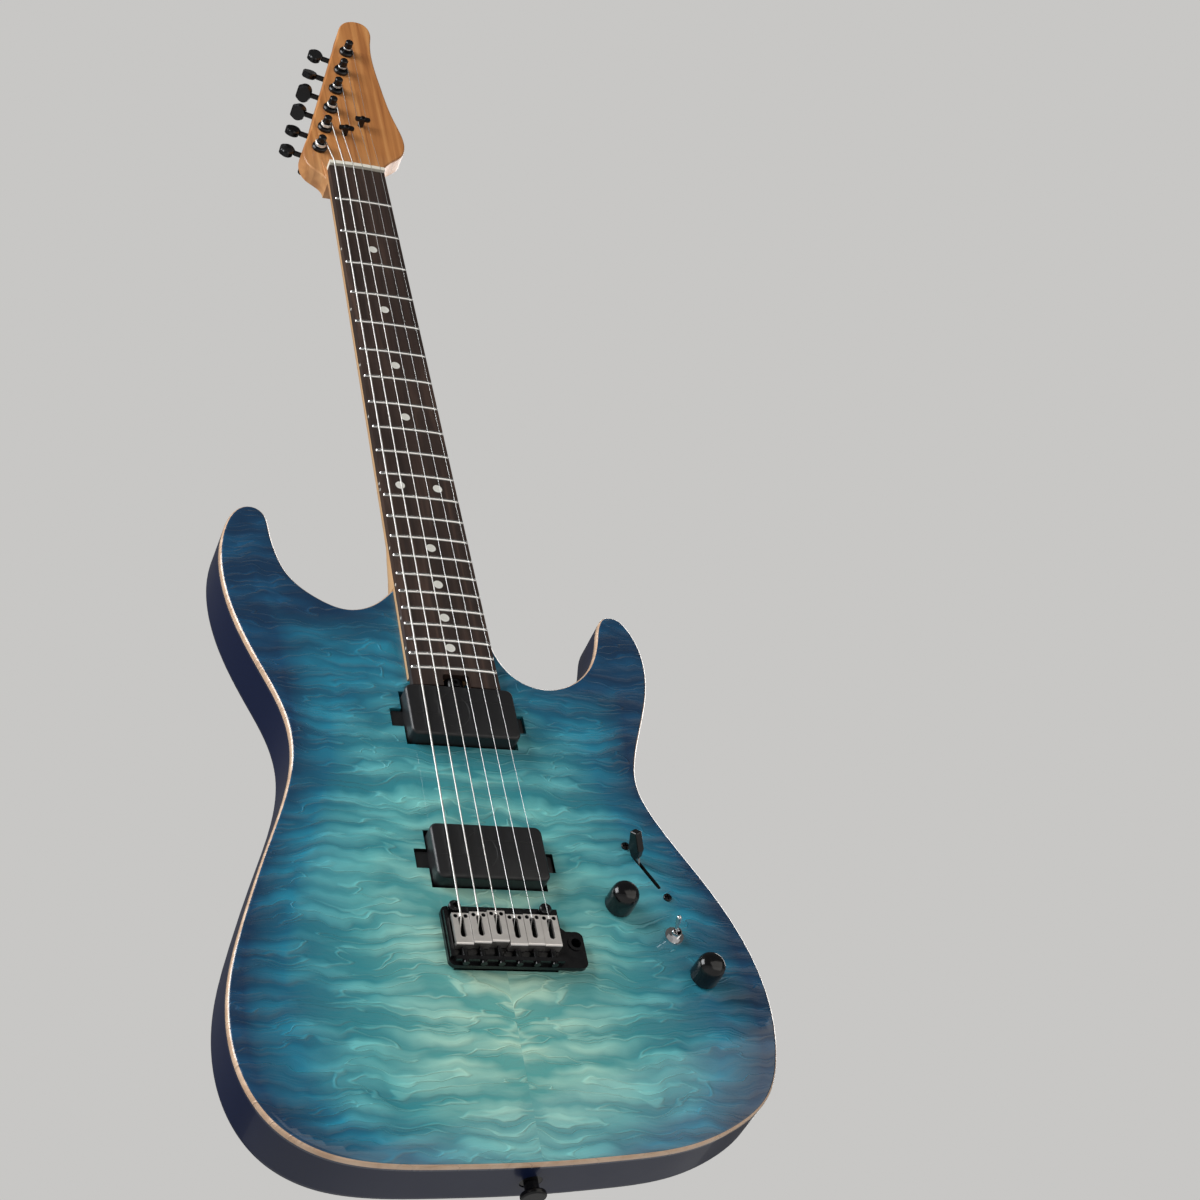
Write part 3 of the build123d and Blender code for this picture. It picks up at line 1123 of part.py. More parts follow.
def make_jack():
    """The output jack in the treble edge, its ring and its nut."""
    y = FACE_Y - JACK_H
    seat = JACK_SIDE_X - 3
    ring = rod((seat, y, JACK_Z), (seat + 2.4, y, JACK_Z), JACK_RING_RADIUS)
    ring = fillet(ring.edges().filter_by(GeomType.CIRCLE).sort_by(Axis.X)[-1], 0.8)
    ring -= rod((seat - 1, y, JACK_Z), (seat + 4, y, JACK_Z), JACK_SLEEVE_RADIUS)
    sleeve = rod((seat - 16, y, JACK_Z), (seat + 4.6, y, JACK_Z), JACK_SLEEVE_RADIUS)
    nut_plane = Plane(origin=(seat + 2.4, y, JACK_Z), z_dir=(1, 0, 0))
    sleeve += extrude(nut_plane * RegularPolygon(7.2, 6), amount=1.8)
    sleeve += rod((seat - 16, y, JACK_Z), (seat - 2.5, y, JACK_Z), 8.0)
    sleeve -= rod((seat - 14, y, JACK_Z), (seat + 6, y, JACK_Z), JACK_BORE_RADIUS)
    save("jack_ring", ring)
    save("output_jack", sleeve)


def make_battery():
    """The nine-volt block that feeds the pickups, in the control cavity."""
    x, z = BATTERY_AT
    wide, deep, long = BATTERY_SIZE
    low = -FRONT_WALL - 2 - deep
    cell = bar(wide, long, low, low + deep, x, z, 2)
    h, end = low + deep / 2, z + long / 2
    for side in (-6.3, 6.3):
        cell += rod(at(x + side, h, end), at(x + side, h, end + 2.4), 3)
    save("battery", cell)


# ---------------------------------------------------------------- fasteners
def strap_pin():
    """A strap pin along +Z: flange and screw below the seat, neck and head above it."""
    flange = Cylinder(PIN_FLANGE_RADIUS, PIN_FLANGE_DEPTH, align=(Align.CENTER, Align.CENTER, Align.MAX))
    neck = Cylinder(PIN_NECK_RADIUS, PIN_NECK_LENGTH, align=(Align.CENTER, Align.CENTER, Align.MIN))
    head = Pos(0, 0, PIN_NECK_LENGTH) * Cylinder(
        PIN_HEAD_RADIUS, PIN_HEAD_LENGTH, align=(Align.CENTER, Align.CENTER, Align.MIN))
    head = fillet(head.edges().filter_by(GeomType.CIRCLE), 1.2)
    shank = Cylinder(2.0, 25, align=(Align.CENTER, Align.CENTER, Align.MAX))
    return flange + neck + head + shank


def make_fasteners():
    """Strap pins, neck screws and the recessed ferrules under their heads."""
    x, z = HORN_PIN_AT
    end_pin = Rot(180, 0, 0) * strap_pin()
    horn_pin = Pos(x, FACE_Y - BACK_H, z) * Rot(-90, 0, 0) * strap_pin()
    save("strap_pins", end_pin, horn_pin)
    screws, ferrules = [], []
    for x in (-NECK_SCREW_X, NECK_SCREW_X):
        for z in NECK_SCREW_ROWS:
            ferrule = post(FERRULE_RADIUS, BACK_H, BACK_H + FERRULE_DEPTH, x, z)
            ferrule -= post(4.4, BACK_H - 1, BACK_H + 2.4, x, z)
            ferrules.append(ferrule - post(NECK_SCREW_RADIUS, BACK_H, BACK_H + 9, x, z))
            shank = post(NECK_SCREW_RADIUS, BACK_H + 2.4, BOARD_BACK_H - 5, x, z)
            head = post(4.2, BACK_H + 0.4, BACK_H + 2.4, x, z) - cross_cut(x, z, BACK_H + 1.4, 5, 1.2)
            screws.append(shank + head)
    save("neck_ferrules", *ferrules)
    save("neck_screws", *screws)


def main():
    os.makedirs("parts", exist_ok=True)
    make_body()
    make_back_covers()
    make_neck()
    make_fingerboard()
    make_truss_wheel()
    make_nut()
    make_tuners()
    trim_screws = make_string_trees()
    make_pickup("neck", NECK_PICKUP_Z)
    make_pickup("bridge", BRIDGE_PICKUP_Z)
    save("pickup_screws", *[screw(x, z, EAR_H, -25.8, PICKUP_SCREW_RADIUS, 2.4, 1.4)
                            for x, z in ear_screw_places()])
    make_tremolo_plate()
    make_saddles()
    make_sustain_block()
    make_springs()
    make_studs()
    make_pots()
    trim_screws += make_blade_switch()
    save("trim_screws", *trim_screws)
    make_mini_toggle()
    make_jack()
    make_battery()
    make_fasteners()
    save("strings", *[make_string(index) for index in range(6)])


main()
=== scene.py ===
# %% [markdown]
# # A solid-body electric guitar with a figured, teal-stained top
# The solid parts come from the CAD frame, in metres, with the neck along +Z and the strings facing -Y.
# The lesson dresses that frame: it gives every part its finish, and it remakes the pieces whose beauty
# is in fine detail, such as the figured top, the strings, the frets and the coil springs.

# %% Load the frame
import json
import math

import bmesh
import bpy
import numpy as np
from mathutils import Matrix, Vector
from mathutils.geometry import delaunay_2d_cdt


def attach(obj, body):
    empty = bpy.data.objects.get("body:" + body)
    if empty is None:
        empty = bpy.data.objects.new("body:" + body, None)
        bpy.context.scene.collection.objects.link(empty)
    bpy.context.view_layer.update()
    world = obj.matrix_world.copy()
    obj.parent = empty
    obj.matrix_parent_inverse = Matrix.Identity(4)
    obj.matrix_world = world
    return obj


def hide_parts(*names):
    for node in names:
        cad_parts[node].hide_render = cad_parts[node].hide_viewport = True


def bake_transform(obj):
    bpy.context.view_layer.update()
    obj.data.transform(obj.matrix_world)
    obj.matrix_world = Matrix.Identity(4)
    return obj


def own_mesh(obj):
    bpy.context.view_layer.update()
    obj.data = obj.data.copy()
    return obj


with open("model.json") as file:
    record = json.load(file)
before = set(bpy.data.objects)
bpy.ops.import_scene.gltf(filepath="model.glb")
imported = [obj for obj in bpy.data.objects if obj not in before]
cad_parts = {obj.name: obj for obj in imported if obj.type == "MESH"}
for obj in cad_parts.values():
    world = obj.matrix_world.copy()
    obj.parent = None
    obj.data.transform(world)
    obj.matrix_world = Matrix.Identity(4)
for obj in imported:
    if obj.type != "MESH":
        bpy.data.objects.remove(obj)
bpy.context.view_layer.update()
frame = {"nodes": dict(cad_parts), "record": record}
nodes = frame["nodes"]

# %% [markdown]
# ## The sizes that the pieces share
# A scale length and two widths fix every fret and string, so they are named once. FACE is the plane of
# the body's front, and a height above it is counted towards -Y.

# %% Shared sizes
FACE = -0.0215
SCALE = 0.6477
NUT_Z = 0.7975
BOARD_END = 0.31825
NUT_WIDTH = 0.042
BOARD_WIDENS = 0.0153
BOARD_TOP = 0.009
BOARD_RADIUS = 0.4064
PIVOT = Vector((0.0, -0.0256, 0.1575))
CAP = 0.006
EDGE_ROUND = 0.0025
STRING_GAP = 0.0108
STRING_RADII = (0.00058, 0.00046, 0.00033, 0.00021, 0.000165, 0.00013)
VOLUME_AT, TONE_AT = (0.079, 0.167), (0.1237, 0.119)
TOGGLE_AT = (0.1109, 0.1468)
STUD_X = 0.028
NECK_PICKUP_Z, BRIDGE_PICKUP_Z = 0.29805, 0.1952
PICKUPS = (("neck", NECK_PICKUP_Z), ("bridge", BRIDGE_PICKUP_Z))
PICKUP_LONG, PICKUP_WIDE = 0.070, 0.038


def half_width(z):
    """Half the fingerboard's width at a height up the neck."""
    return (NUT_WIDTH + BOARD_WIDENS * (NUT_Z - z) / (NUT_Z - BOARD_END)) / 2


def on_face(x, height, z):
    """A point from its place on the front and its height above it."""
    return Vector((x, FACE - height, z))


print("scale", SCALE, "m, board", round(2 * half_width(BOARD_END), 4), "m wide at its end")

# %% [markdown]
# ## Small tools
# Helpers keep the cells short. This first group builds procedural finishes. Every one starts from a
# single Principled shader and adds only the nodes that its pattern needs.

# %% Helpers for finishes
def adder(tree):
    """A function that adds nodes to a tree, and links or sets their sockets."""
    def add(kind, sockets=None, **settings):
        node = tree.nodes.new(kind)
        for key, value in settings.items():
            setattr(node, key, value)
        for key, value in (sockets or {}).items():
            if isinstance(value, bpy.types.NodeSocket):
                tree.links.new(value, node.inputs[key])
            else:
                node.inputs[key].default_value = value
        return node

    return add


def finish_base(name, color, rough, metal=0.0, coat=0.0, coat_rough=0.05):
    """A material with one Principled shader, and a function that adds nodes to it."""
    material = bpy.data.materials.new(name)
    material.use_nodes = True
    tree = material.node_tree
    shader = tree.nodes["Principled BSDF"]
    shader.inputs["Base Color"].default_value = (*color, 1)
    shader.inputs["Roughness"].default_value = rough
    shader.inputs["Metallic"].default_value = metal
    shader.inputs["Coat Weight"].default_value = coat
    shader.inputs["Coat Roughness"].default_value = coat_rough
    return material, shader, adder(tree)


def wire(material, output, target):
    """Links one socket to another inside a material, or inside the sky."""
    material.node_tree.links.new(output, target)


def object_point(add, scale=(1, 1, 1)):
    """Object coordinates, stretched so that a pattern runs along one direction."""
    where = add("ShaderNodeTexCoord")
    return add("ShaderNodeMapping", {"Vector": where.outputs["Object"], "Scale": scale}).outputs[0]


def ramp(add, factor, stops):
    """A colour ramp from (position, colour) stops."""
    node = add("ShaderNodeValToRGB", {"Fac": factor})
    while len(node.color_ramp.elements) < len(stops):
        node.color_ramp.elements.new(0.5)
    for element, (place, color) in zip(node.color_ramp.elements, stops):
        element.position = place
        element.color = (*color, 1)
    return node.outputs["Color"]


def bump(material, shader, add, height, strength, distance):
    """Raises the surface where a pattern is bright."""
    node = add("ShaderNodeBump", {"Height": height, "Strength": strength, "Distance": distance})
    wire(material, node.outputs["Normal"], shader.inputs["Normal"])


# %% [markdown]
# The second group makes meshes. Turned parts come from a lathe, bars and wires from a tube along a path,
# and one more helper declares which body a piece rides on and which CAD nodes it stands for. Curve
# objects could make the wires too, but plain meshes need no conversion.

# %% Helpers for pieces
def piece(name, points, faces, material, smooth=True):
    """A mesh object in the frame's own coordinates."""
    mesh = bpy.data.meshes.new(name)
    mesh.from_pydata([tuple(p) for p in points], [], faces)
    mesh.materials.append(material)
    mesh.polygons.foreach_set("use_smooth", [smooth] * len(mesh.polygons))
    mesh.update()
    thing = bpy.data.objects.new(name, mesh)
    bpy.context.scene.collection.objects.link(thing)
    return thing


def crease(thing, degrees=35):
    """Keeps edges sharper than an angle crisp, and shades the rest smooth."""
    shape = bmesh.new()
    shape.from_mesh(thing.data)
    bmesh.ops.recalc_face_normals(shape, faces=shape.faces)
    for edge in shape.edges:
        edge.smooth = len(edge.link_faces) == 2 and edge.calc_face_angle(0) < math.radians(degrees)
    shape.to_mesh(thing.data)
    shape.free()
    return thing


def declare(thing, body, slot, *stands_for):
    """The piece rides on a body and stands for CAD nodes. The slot is not used."""
    if stands_for:
        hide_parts(*stands_for)
    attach(thing, body)
    print(thing.name, len(thing.data.polygons), "faces, rides on", body)
    return thing


def skin(rings, count):
    """Four-sided faces between rings of points, each ring closed on itself."""
    return [(r * count + i, r * count + (i + 1) % count, (r + 1) * count + (i + 1) % count,
             (r + 1) * count + i) for r in range(rings - 1) for i in range(count)]


def lathe(name, profile, base, axis, material, steps=64):
    """Turns (radius, distance along the axis) points round an axis, as on a lathe."""
    axis = Vector(axis).normalized()
    side = axis.orthogonal().normalized()
    across = axis.cross(side)
    points = []
    for radius, along in profile:
        for step in range(steps):
            turn = 2 * math.pi * step / steps
            out = side * math.cos(turn) + across * math.sin(turn)
            points.append(Vector(base) + axis * along + out * radius)
    ends = [tuple(range(steps)), tuple(range(len(points) - steps, len(points)))]
    return crease(piece(name, points, skin(len(profile), steps) + ends, material))


def tube(path, radius, sides=10):
    """Points and faces of a round bar along a path, closed at both ends."""
    path = [Vector(p) for p in path]
    points = []
    side = (path[1] - path[0]).orthogonal().normalized()
    for i, centre in enumerate(path):
        ahead = (path[min(i + 1, len(path) - 1)] - path[max(i - 1, 0)]).normalized()
        side = (side - ahead * side.dot(ahead)).normalized()
        across = ahead.cross(side)
        for step in range(sides):
            turn = 2 * math.pi * step / sides
            points.append(centre + (side * math.cos(turn) + across * math.sin(turn)) * radius)
    ends = [tuple(range(sides))[::-1], tuple(range(len(points) - sides, len(points)))]
    return points, skin(len(path), sides) + ends


def gather(name, parts, material, smooth=True):
    """Joins several (points, faces) shapes into one piece."""
    points, faces = [], []
    for more_points, more_faces in parts:
        base = len(points)
        points += list(more_points)
        faces += [tuple(base + i for i in face) for face in more_faces]
    return crease(piece(name, points, faces, material, smooth))


# %% [markdown]
# ## Finishes for wood
# The top is two leaves of one board, opened like a book, so its figure is mirrored about the centre and
# slips a few millimetres at the joint. Quilted maple shows soft pillows because its fibres dive in and
# out of the cut. The stain gathers in them, so the same pattern drives both the colour and the slope
# under the clear lacquer. A picture of real maple could stand in for it, but it would stretch at the
# edges and repeat, and a pattern on object coordinates does neither.

# %% The quilted, stained top
quilt, shader, add = finish_base("quilted maple", (0.1, 0.3, 0.3), 0.36, coat=1.0, coat_rough=0.035)
where = add("ShaderNodeTexCoord")
split = add("ShaderNodeSeparateXYZ", {"Vector": where.outputs["Object"]})
mirrored = add("ShaderNodeMath", {0: split.outputs["X"]}, operation="ABSOLUTE")
half_of_top = add("ShaderNodeMath", {0: split.outputs["X"], 1: 0.0}, operation="GREATER_THAN")
LEAF_SLIP = 0.0042
slipped = add("ShaderNodeMath", {0: half_of_top.outputs[0], 1: LEAF_SLIP, 2: split.outputs["Z"]},
              operation="MULTIPLY_ADD")
folded = add("ShaderNodeCombineXYZ", {"X": mirrored.outputs[0], "Z": slipped.outputs[0]})
drift = add("ShaderNodeTexNoise", {"Vector": folded.outputs[0], "Scale": 17.0, "Detail": 3.0,
                                   "Roughness": 0.55})
shift = add("ShaderNodeVectorMath", {0: drift.outputs["Color"], 1: (0.5, 0.5, 0.5)}, operation="SUBTRACT")
pull = add("ShaderNodeVectorMath", {0: shift.outputs[0], 1: (0.070, 0.0, 0.034)}, operation="MULTIPLY")
bent = add("ShaderNodeVectorMath", {0: folded.outputs[0], 1: pull.outputs[0]}, operation="ADD")
wide = add("ShaderNodeMapping", {"Vector": bent.outputs[0], "Scale": (21.0, 1.0, 112.0)})
pillows = add("ShaderNodeTexVoronoi", {"Vector": wide.outputs[0], "Scale": 1.0, "Smoothness": 0.35,
                                       "Randomness": 1.0}, feature="SMOOTH_F1")
fine = add("ShaderNodeMapping", {"Vector": bent.outputs[0], "Scale": (34.0, 1.0, 230.0)})
ripples = add("ShaderNodeTexNoise", {"Vector": fine.outputs[0], "Scale": 1.0, "Detail": 4.0,
                                     "Roughness": 0.55, "Distortion": 0.6})
swell = add("ShaderNodeMapRange", {"Value": pillows.outputs["Distance"], "From Min": 0.15, "From Max": 0.85,
                                   "To Min": 1.0, "To Max": 0.0})
blend = add("ShaderNodeMix", {"Factor": 0.35, "A": swell.outputs[0], "B": ripples.outputs["Fac"]})
weave = add("ShaderNodeMapping", {"Vector": bent.outputs[0], "Scale": (13.0, 1.0, 88.0)})
level = add("ShaderNodeTexNoise", {"Vector": weave.outputs[0], "Scale": 1.0, "Detail": 1.5,
                                   "Roughness": 0.45, "Distortion": 1.1})
off = add("ShaderNodeMath", {0: level.outputs["Fac"], 1: 0.5}, operation="SUBTRACT")
apart = add("ShaderNodeMath", {0: off.outputs[0]}, operation="ABSOLUTE")
crest = add("ShaderNodeMapRange", {"Value": apart.outputs[0], "From Min": 0.0, "From Max": 0.032,
                                   "To Min": 1.0, "To Max": 0.0}, interpolation_type="SMOOTHSTEP")
figure = add("ShaderNodeMath", {0: crest.outputs[0], 1: 0.24, 2: blend.outputs["Result"]},
             operation="MULTIPLY_ADD")
burst = add("ShaderNodeAttribute", attribute_name="burst")
cloud = add("ShaderNodeTexNoise", {"Vector": folded.outputs[0], "Scale": 26.0, "Detail": 2.0})
wander = add("ShaderNodeMath", {0: cloud.outputs["Fac"], 1: 0.5}, operation="SUBTRACT")
patchy = add("ShaderNodeMath", {0: wander.outputs[0], 1: 0.16, 2: burst.outputs["Fac"]},
             operation="MULTIPLY_ADD")
deep = ramp(add, patchy.outputs[0], [(0.0, (0.125, 0.44, 0.40)), (0.3, (0.035, 0.27, 0.31)),
                                     (0.6, (0.006, 0.125, 0.215)), (1.0, (0.002, 0.032, 0.085))])
light = ramp(add, patchy.outputs[0], [(0.0, (0.58, 0.88, 0.68)), (0.3, (0.19, 0.62, 0.60)),
                                      (0.6, (0.020, 0.285, 0.42)), (1.0, (0.004, 0.075, 0.17))])
contrast = add("ShaderNodeMapRange", {"Value": figure.outputs[0], "From Min": 0.34, "From Max": 0.92})
stain = add("ShaderNodeMix", {"Factor": contrast.outputs[0], "A": deep, "B": light}, data_type="RGBA")
edge = add("ShaderNodeAttribute", attribute_name="edge")
BARE_RIM, BARE_DEPTH, BARE_SOFT = 0.0010, 0.0042, 0.0002
masked = add("ShaderNodeMapRange", {"Value": edge.outputs["Fac"], "From Min": BARE_RIM,
                                    "From Max": BARE_RIM + BARE_SOFT})
taped = add("ShaderNodeMapRange", {"Value": split.outputs["Y"], "From Min": FACE + BARE_DEPTH,
                                   "From Max": FACE + BARE_DEPTH + BARE_SOFT})
bare_grain = add("ShaderNodeTexNoise", {"Vector": where.outputs["Object"], "Scale": 90.0, "Detail": 4.0})
bare = ramp(add, bare_grain.outputs["Fac"], [(0.3, (0.62, 0.39, 0.24)), (0.7, (0.80, 0.57, 0.40))])
rim_color = add("ShaderNodeMix", {"Factor": taped.outputs[0], "A": bare, "B": (0.004, 0.012, 0.045, 1.0)},
                data_type="RGBA")
both = add("ShaderNodeMix", {"Factor": masked.outputs[0], "A": rim_color.outputs["Result"],
                             "B": stain.outputs["Result"]}, data_type="RGBA")
wire(quilt, both.outputs["Result"], shader.inputs["Base Color"])
bump(quilt, shader, add, figure.outputs[0], 0.55, 0.0035)
print("quilt:", len(quilt.node_tree.nodes), "nodes")

# %% [markdown]
# The neck is roasted maple, browner at the headstock than on the slim shaft. The fingerboard is a dark
# open-grained wood, so its pores are short dark lines that also dip a little.

# %% Neck and fingerboard woods
maple, shader, add = finish_base("roasted maple", (0.56, 0.28, 0.11), 0.42, coat=0.25, coat_rough=0.2)
grain = add("ShaderNodeTexNoise", {"Vector": object_point(add, (150, 60, 7)), "Scale": 1.0, "Detail": 5.0,
                                   "Distortion": 0.9})
split = add("ShaderNodeSeparateXYZ", {"Vector": add("ShaderNodeTexCoord").outputs["Object"]})
roast = add("ShaderNodeMapRange", {"Value": split.outputs["Z"], "From Min": 0.74, "From Max": 0.83})
pale = ramp(add, grain.outputs["Fac"], [(0.3, (0.55, 0.31, 0.14)), (0.7, (0.72, 0.47, 0.25))])
brown = ramp(add, grain.outputs["Fac"], [(0.28, (0.31, 0.105, 0.028)), (0.5, (0.50, 0.20, 0.058)),
                                         (0.72, (0.66, 0.31, 0.105))])
mix = add("ShaderNodeMix", {"Factor": roast.outputs[0], "A": pale, "B": brown}, data_type="RGBA")
wire(maple, mix.outputs["Result"], shader.inputs["Base Color"])
bump(maple, shader, add, grain.outputs["Fac"], 0.05, 0.0004)

rosewood, shader, add = finish_base("dark rosewood", (0.04, 0.02, 0.015), 0.5)
grain = add("ShaderNodeTexNoise", {"Vector": object_point(add, (190, 60, 9)), "Scale": 1.0, "Detail": 6.0,
                                   "Distortion": 0.7})
tone = ramp(add, grain.outputs["Fac"], [(0.3, (0.016, 0.009, 0.007)), (0.55, (0.040, 0.022, 0.016)),
                                        (0.75, (0.085, 0.048, 0.034))])
wire(rosewood, tone, shader.inputs["Base Color"])
pores = add("ShaderNodeTexNoise", {"Vector": object_point(add, (2400, 900, 110)), "Scale": 1.0,
                                   "Detail": 2.0})
bump(rosewood, shader, add, pores.outputs["Fac"], 0.25, 0.0003)
print("woods:", maple.name, "and", rosewood.name)

# %% [markdown]
# ## Finishes for lacquer, metal and plastic
# Real hardware is never one flat value. A faint noise in the roughness breaks up the highlight the way
# handling and plating do, and brushed steel gets streaks along one direction.

# %% Lacquer, plating, steel and plastic
def worn(name, color, rough, spread, metal=0.0, coat=0.0, stretch=(300, 300, 300), height=0.0):
    """A plain finish whose roughness wanders a little."""
    material, shader, add = finish_base(name, color, rough, metal, coat)
    noise = add("ShaderNodeTexNoise", {"Vector": object_point(add, stretch), "Scale": 1.0, "Detail": 4.0})
    vary = add("ShaderNodeMapRange", {"Value": noise.outputs["Fac"], "From Min": 0.3, "From Max": 0.7,
                                      "To Min": max(rough - spread, 0.02), "To Max": rough + spread})
    wire(material, vary.outputs[0], shader.inputs["Roughness"])
    if height:
        bump(material, shader, add, noise.outputs["Fac"], height, 0.0004)
    return material


navy = worn("navy lacquer", (0.003, 0.009, 0.040), 0.3, 0.03, coat=0.22, stretch=(40, 40, 40))
navy.node_tree.nodes["Principled BSDF"].inputs["Specular IOR Level"].default_value = 0.28
black_metal = worn("black plating", (0.007, 0.007, 0.008), 0.22, 0.05, metal=0.3, stretch=(200, 200, 200))
knob_black = worn("knob gloss", (0.0035, 0.0035, 0.0042), 0.16, 0.04)
pickup_black = worn("pickup shell", (0.0105, 0.0105, 0.0115), 0.38, 0.05, stretch=(1500, 1500, 1500),
                    height=0.12)
cover_black = worn("cover plastic", (0.012, 0.012, 0.012), 0.5, 0.05, stretch=(900, 900, 900), height=0.3)
steel = worn("plain steel", (0.50, 0.50, 0.50), 0.33, 0.08, metal=1.0, stretch=(90, 600, 90))
saddle_steel = worn("satin saddle steel", (0.86, 0.83, 0.80), 0.42, 0.05, metal=1.0, stretch=(60, 60, 300))
chrome = worn("chrome", (0.80, 0.80, 0.81), 0.07, 0.03, metal=1.0)
fret_metal = worn("fret wire", (0.78, 0.77, 0.75), 0.2, 0.05, metal=1.0, stretch=(120, 900, 900))
plain_wire = worn("plain string steel", (0.66, 0.66, 0.65), 0.32, 0.04, metal=1.0)
bone = worn("nut", (0.76, 0.72, 0.62), 0.35, 0.06)
pearl = worn("pearl", (0.78, 0.77, 0.71), 0.25, 0.08, stretch=(260, 260, 900))
case = worn("battery case", (0.06, 0.06, 0.07), 0.4, 0.05)
print("finishes so far:", len(bpy.data.materials))

# %% [markdown]
# A wound string is a steel core wrapped in fine wire. At a third of a millimetre a turn, the wrap reads
# as a ribbed sheen, so a wave along the string's length bumps the surface.

# %% Wound wire
wound_wire, shader, add = finish_base("wound string", (0.88, 0.86, 0.82), 0.36, metal=1.0)
WRAP_SCALE = 480.0
ribs = add("ShaderNodeTexWave", {"Vector": object_point(add), "Scale": WRAP_SCALE, "Distortion": 0.0},
           wave_type="BANDS", bands_direction="Z")
bump(wound_wire, shader, add, ribs.outputs["Fac"], 0.7, 0.0001)
print("wound wire:", len(wound_wire.node_tree.nodes), "nodes")

# %% [markdown]
# ## The body's outline
# A few points and one smooth curve through them give the waist, the horns and the round
# bottom. The curve is a cubic spline with chord-length steps, the same kind a draughtsman's batten makes.

# %% The outline as a curve
KNOTS = np.array([
    (-28.5, 399.5), (-43, 386.5), (-60, 381.8), (-78, 389), (-94, 404.5), (-101, 425), (-103.2, 444),
    (-105.2, 455.2), (-110.5, 460.3), (-118, 460.3), (-125.2, 454.8), (-131.3, 444), (-136.8, 424),
    (-138, 400), (-133.5, 369), (-121.5, 331), (-110.8, 298), (-108.7, 274), (-113.5, 247), (-131, 201),
    (-150.5, 151), (-163, 110), (-166, 79), (-160.5, 47), (-145.5, 22), (-121, 6), (-92, -0.3),
    (-50, -1.5), (0, -0.4), (50, 3.2), (90, 9), (123, 22), (147, 41), (160, 71), (163.7, 100),
    (158.5, 141), (142, 184), (119.5, 228), (111.3, 256), (116, 282), (129.5, 318), (137, 351),
    (135.6, 371.5), (131.3, 383.8), (125, 391.2), (116.2, 391.4), (110.8, 384.5), (107, 372),
    (97.5, 349), (80.5, 333), (62, 328.4), (45.5, 335), (36.5, 347.5), (31.5, 366)]) / 1000


def batten(knots, step):
    """Evenly spaced points on a natural cubic spline through the knots."""
    reach = np.concatenate([[0], np.cumsum(np.linalg.norm(np.diff(knots, axis=0), axis=1))])
    gaps = np.diff(reach)
    count = len(knots)
    left = np.eye(count)
    right = np.zeros_like(knots)
    for i in range(1, count - 1):
        left[i, i - 1:i + 2] = gaps[i - 1], 2 * (gaps[i - 1] + gaps[i]), gaps[i]
        right[i] = 6 * ((knots[i + 1] - knots[i]) / gaps[i] - (knots[i] - knots[i - 1]) / gaps[i - 1])
    curve = np.linalg.solve(left, right)
    places = np.linspace(0, reach[-1], int(reach[-1] / step))
    spots = np.clip(np.searchsorted(reach, places, side="right") - 1, 0, count - 2)
    a = ((reach[spots + 1] - places) / gaps[spots])[:, None]
    b = 1 - a
    width = gaps[spots][:, None]
    bend = ((a ** 3 - a) * curve[spots] + (b ** 3 - b) * curve[spots + 1]) * width ** 2 / 6
    return a * knots[spots] + b * knots[spots + 1] + bend


RIM_STEP = 0.0028
outline = batten(KNOTS, RIM_STEP)
ahead = np.gradient(outline, axis=0)
ahead /= np.linalg.norm(ahead, axis=1)[:, None]
inward = np.stack([-ahead[:, 1], ahead[:, 0]], axis=1)
print("outline:", len(outline), "points")

# %% [markdown]
# ## The figured top
# The top is six millimetres of maple. Its face is filled with an even net of triangles, because the
# colour burst is stored on the net's points: pale over the belly, deep at the horns and the rim. The
# holes for the pickups, the bridge and the controls are cut through it. A rounded edge runs all round,
# and its outermost millimetre is left unstained, which shows as a pale line.

# %% The top's holes
WELL_X, WELL_Z = 0.036, 0.020
EAR_X, EAR_Z = 0.0435, 0.00675


def ring(x, z, radius, count=28):
    """A round hole."""
    turns = [2 * math.pi * i / count for i in range(count)]
    return [(x + radius * math.cos(t), z + radius * math.sin(t)) for t in turns]


def box(x, z, wide, tall):
    """A square hole."""
    return [(x - wide, z - tall), (x + wide, z - tall), (x + wide, z + tall), (x - wide, z + tall)]


def eared(z):
    """A pickup's hole, wider where its ears sit."""
    right = [(WELL_X, z - WELL_Z), (WELL_X, z - EAR_Z), (EAR_X, z - EAR_Z), (EAR_X, z + EAR_Z),
             (WELL_X, z + EAR_Z), (WELL_X, z + WELL_Z)]
    return right + [(-x, y) for x, y in reversed(right)]


def slot_hole(x, z, lean, long, wide, count=10):
    """A slot with round ends, leaning from the neck's direction."""
    points = []
    for end in (1, -1):
        for i in range(count + 1):
            t = math.pi * i / count - math.pi / 2 + (0 if end > 0 else math.pi)
            u, v = end * (long - wide) / 2 + wide / 2 * math.cos(t), wide / 2 * math.sin(t)
            points.append((x + u * math.cos(lean) - v * math.sin(lean),
                           z + u * math.sin(lean) + v * math.cos(lean)))
    return points


LEAN = math.radians(-61.1)
SWITCH = (0.1027, 0.1919)
SCREW_OFF = 0.02065
STUD_HOLE, SHAFT_HOLE, TOGGLE_HOLE, SCREW_HOLE = 0.005, 0.00475, 0.00315, 0.00165
screws = [(SWITCH[0] + side * SCREW_OFF * math.cos(LEAN), SWITCH[1] + side * SCREW_OFF * math.sin(LEAN))
          for side in (-1, 1)]
holes = [eared(BRIDGE_PICKUP_Z), box(0, 0.13495, 0.032, 0.01495), box(0.0437, 0.1345, 0.0065, 0.0085),
         ring(-STUD_X, PIVOT.z, STUD_HOLE), ring(STUD_X, PIVOT.z, STUD_HOLE), ring(*VOLUME_AT, SHAFT_HOLE),
         ring(*TONE_AT, SHAFT_HOLE), ring(*TOGGLE_AT, TOGGLE_HOLE), slot_hole(*SWITCH, LEAN, 0.027, 0.0026)]
holes += [ring(*spot, SCREW_HOLE, 16) for spot in screws]
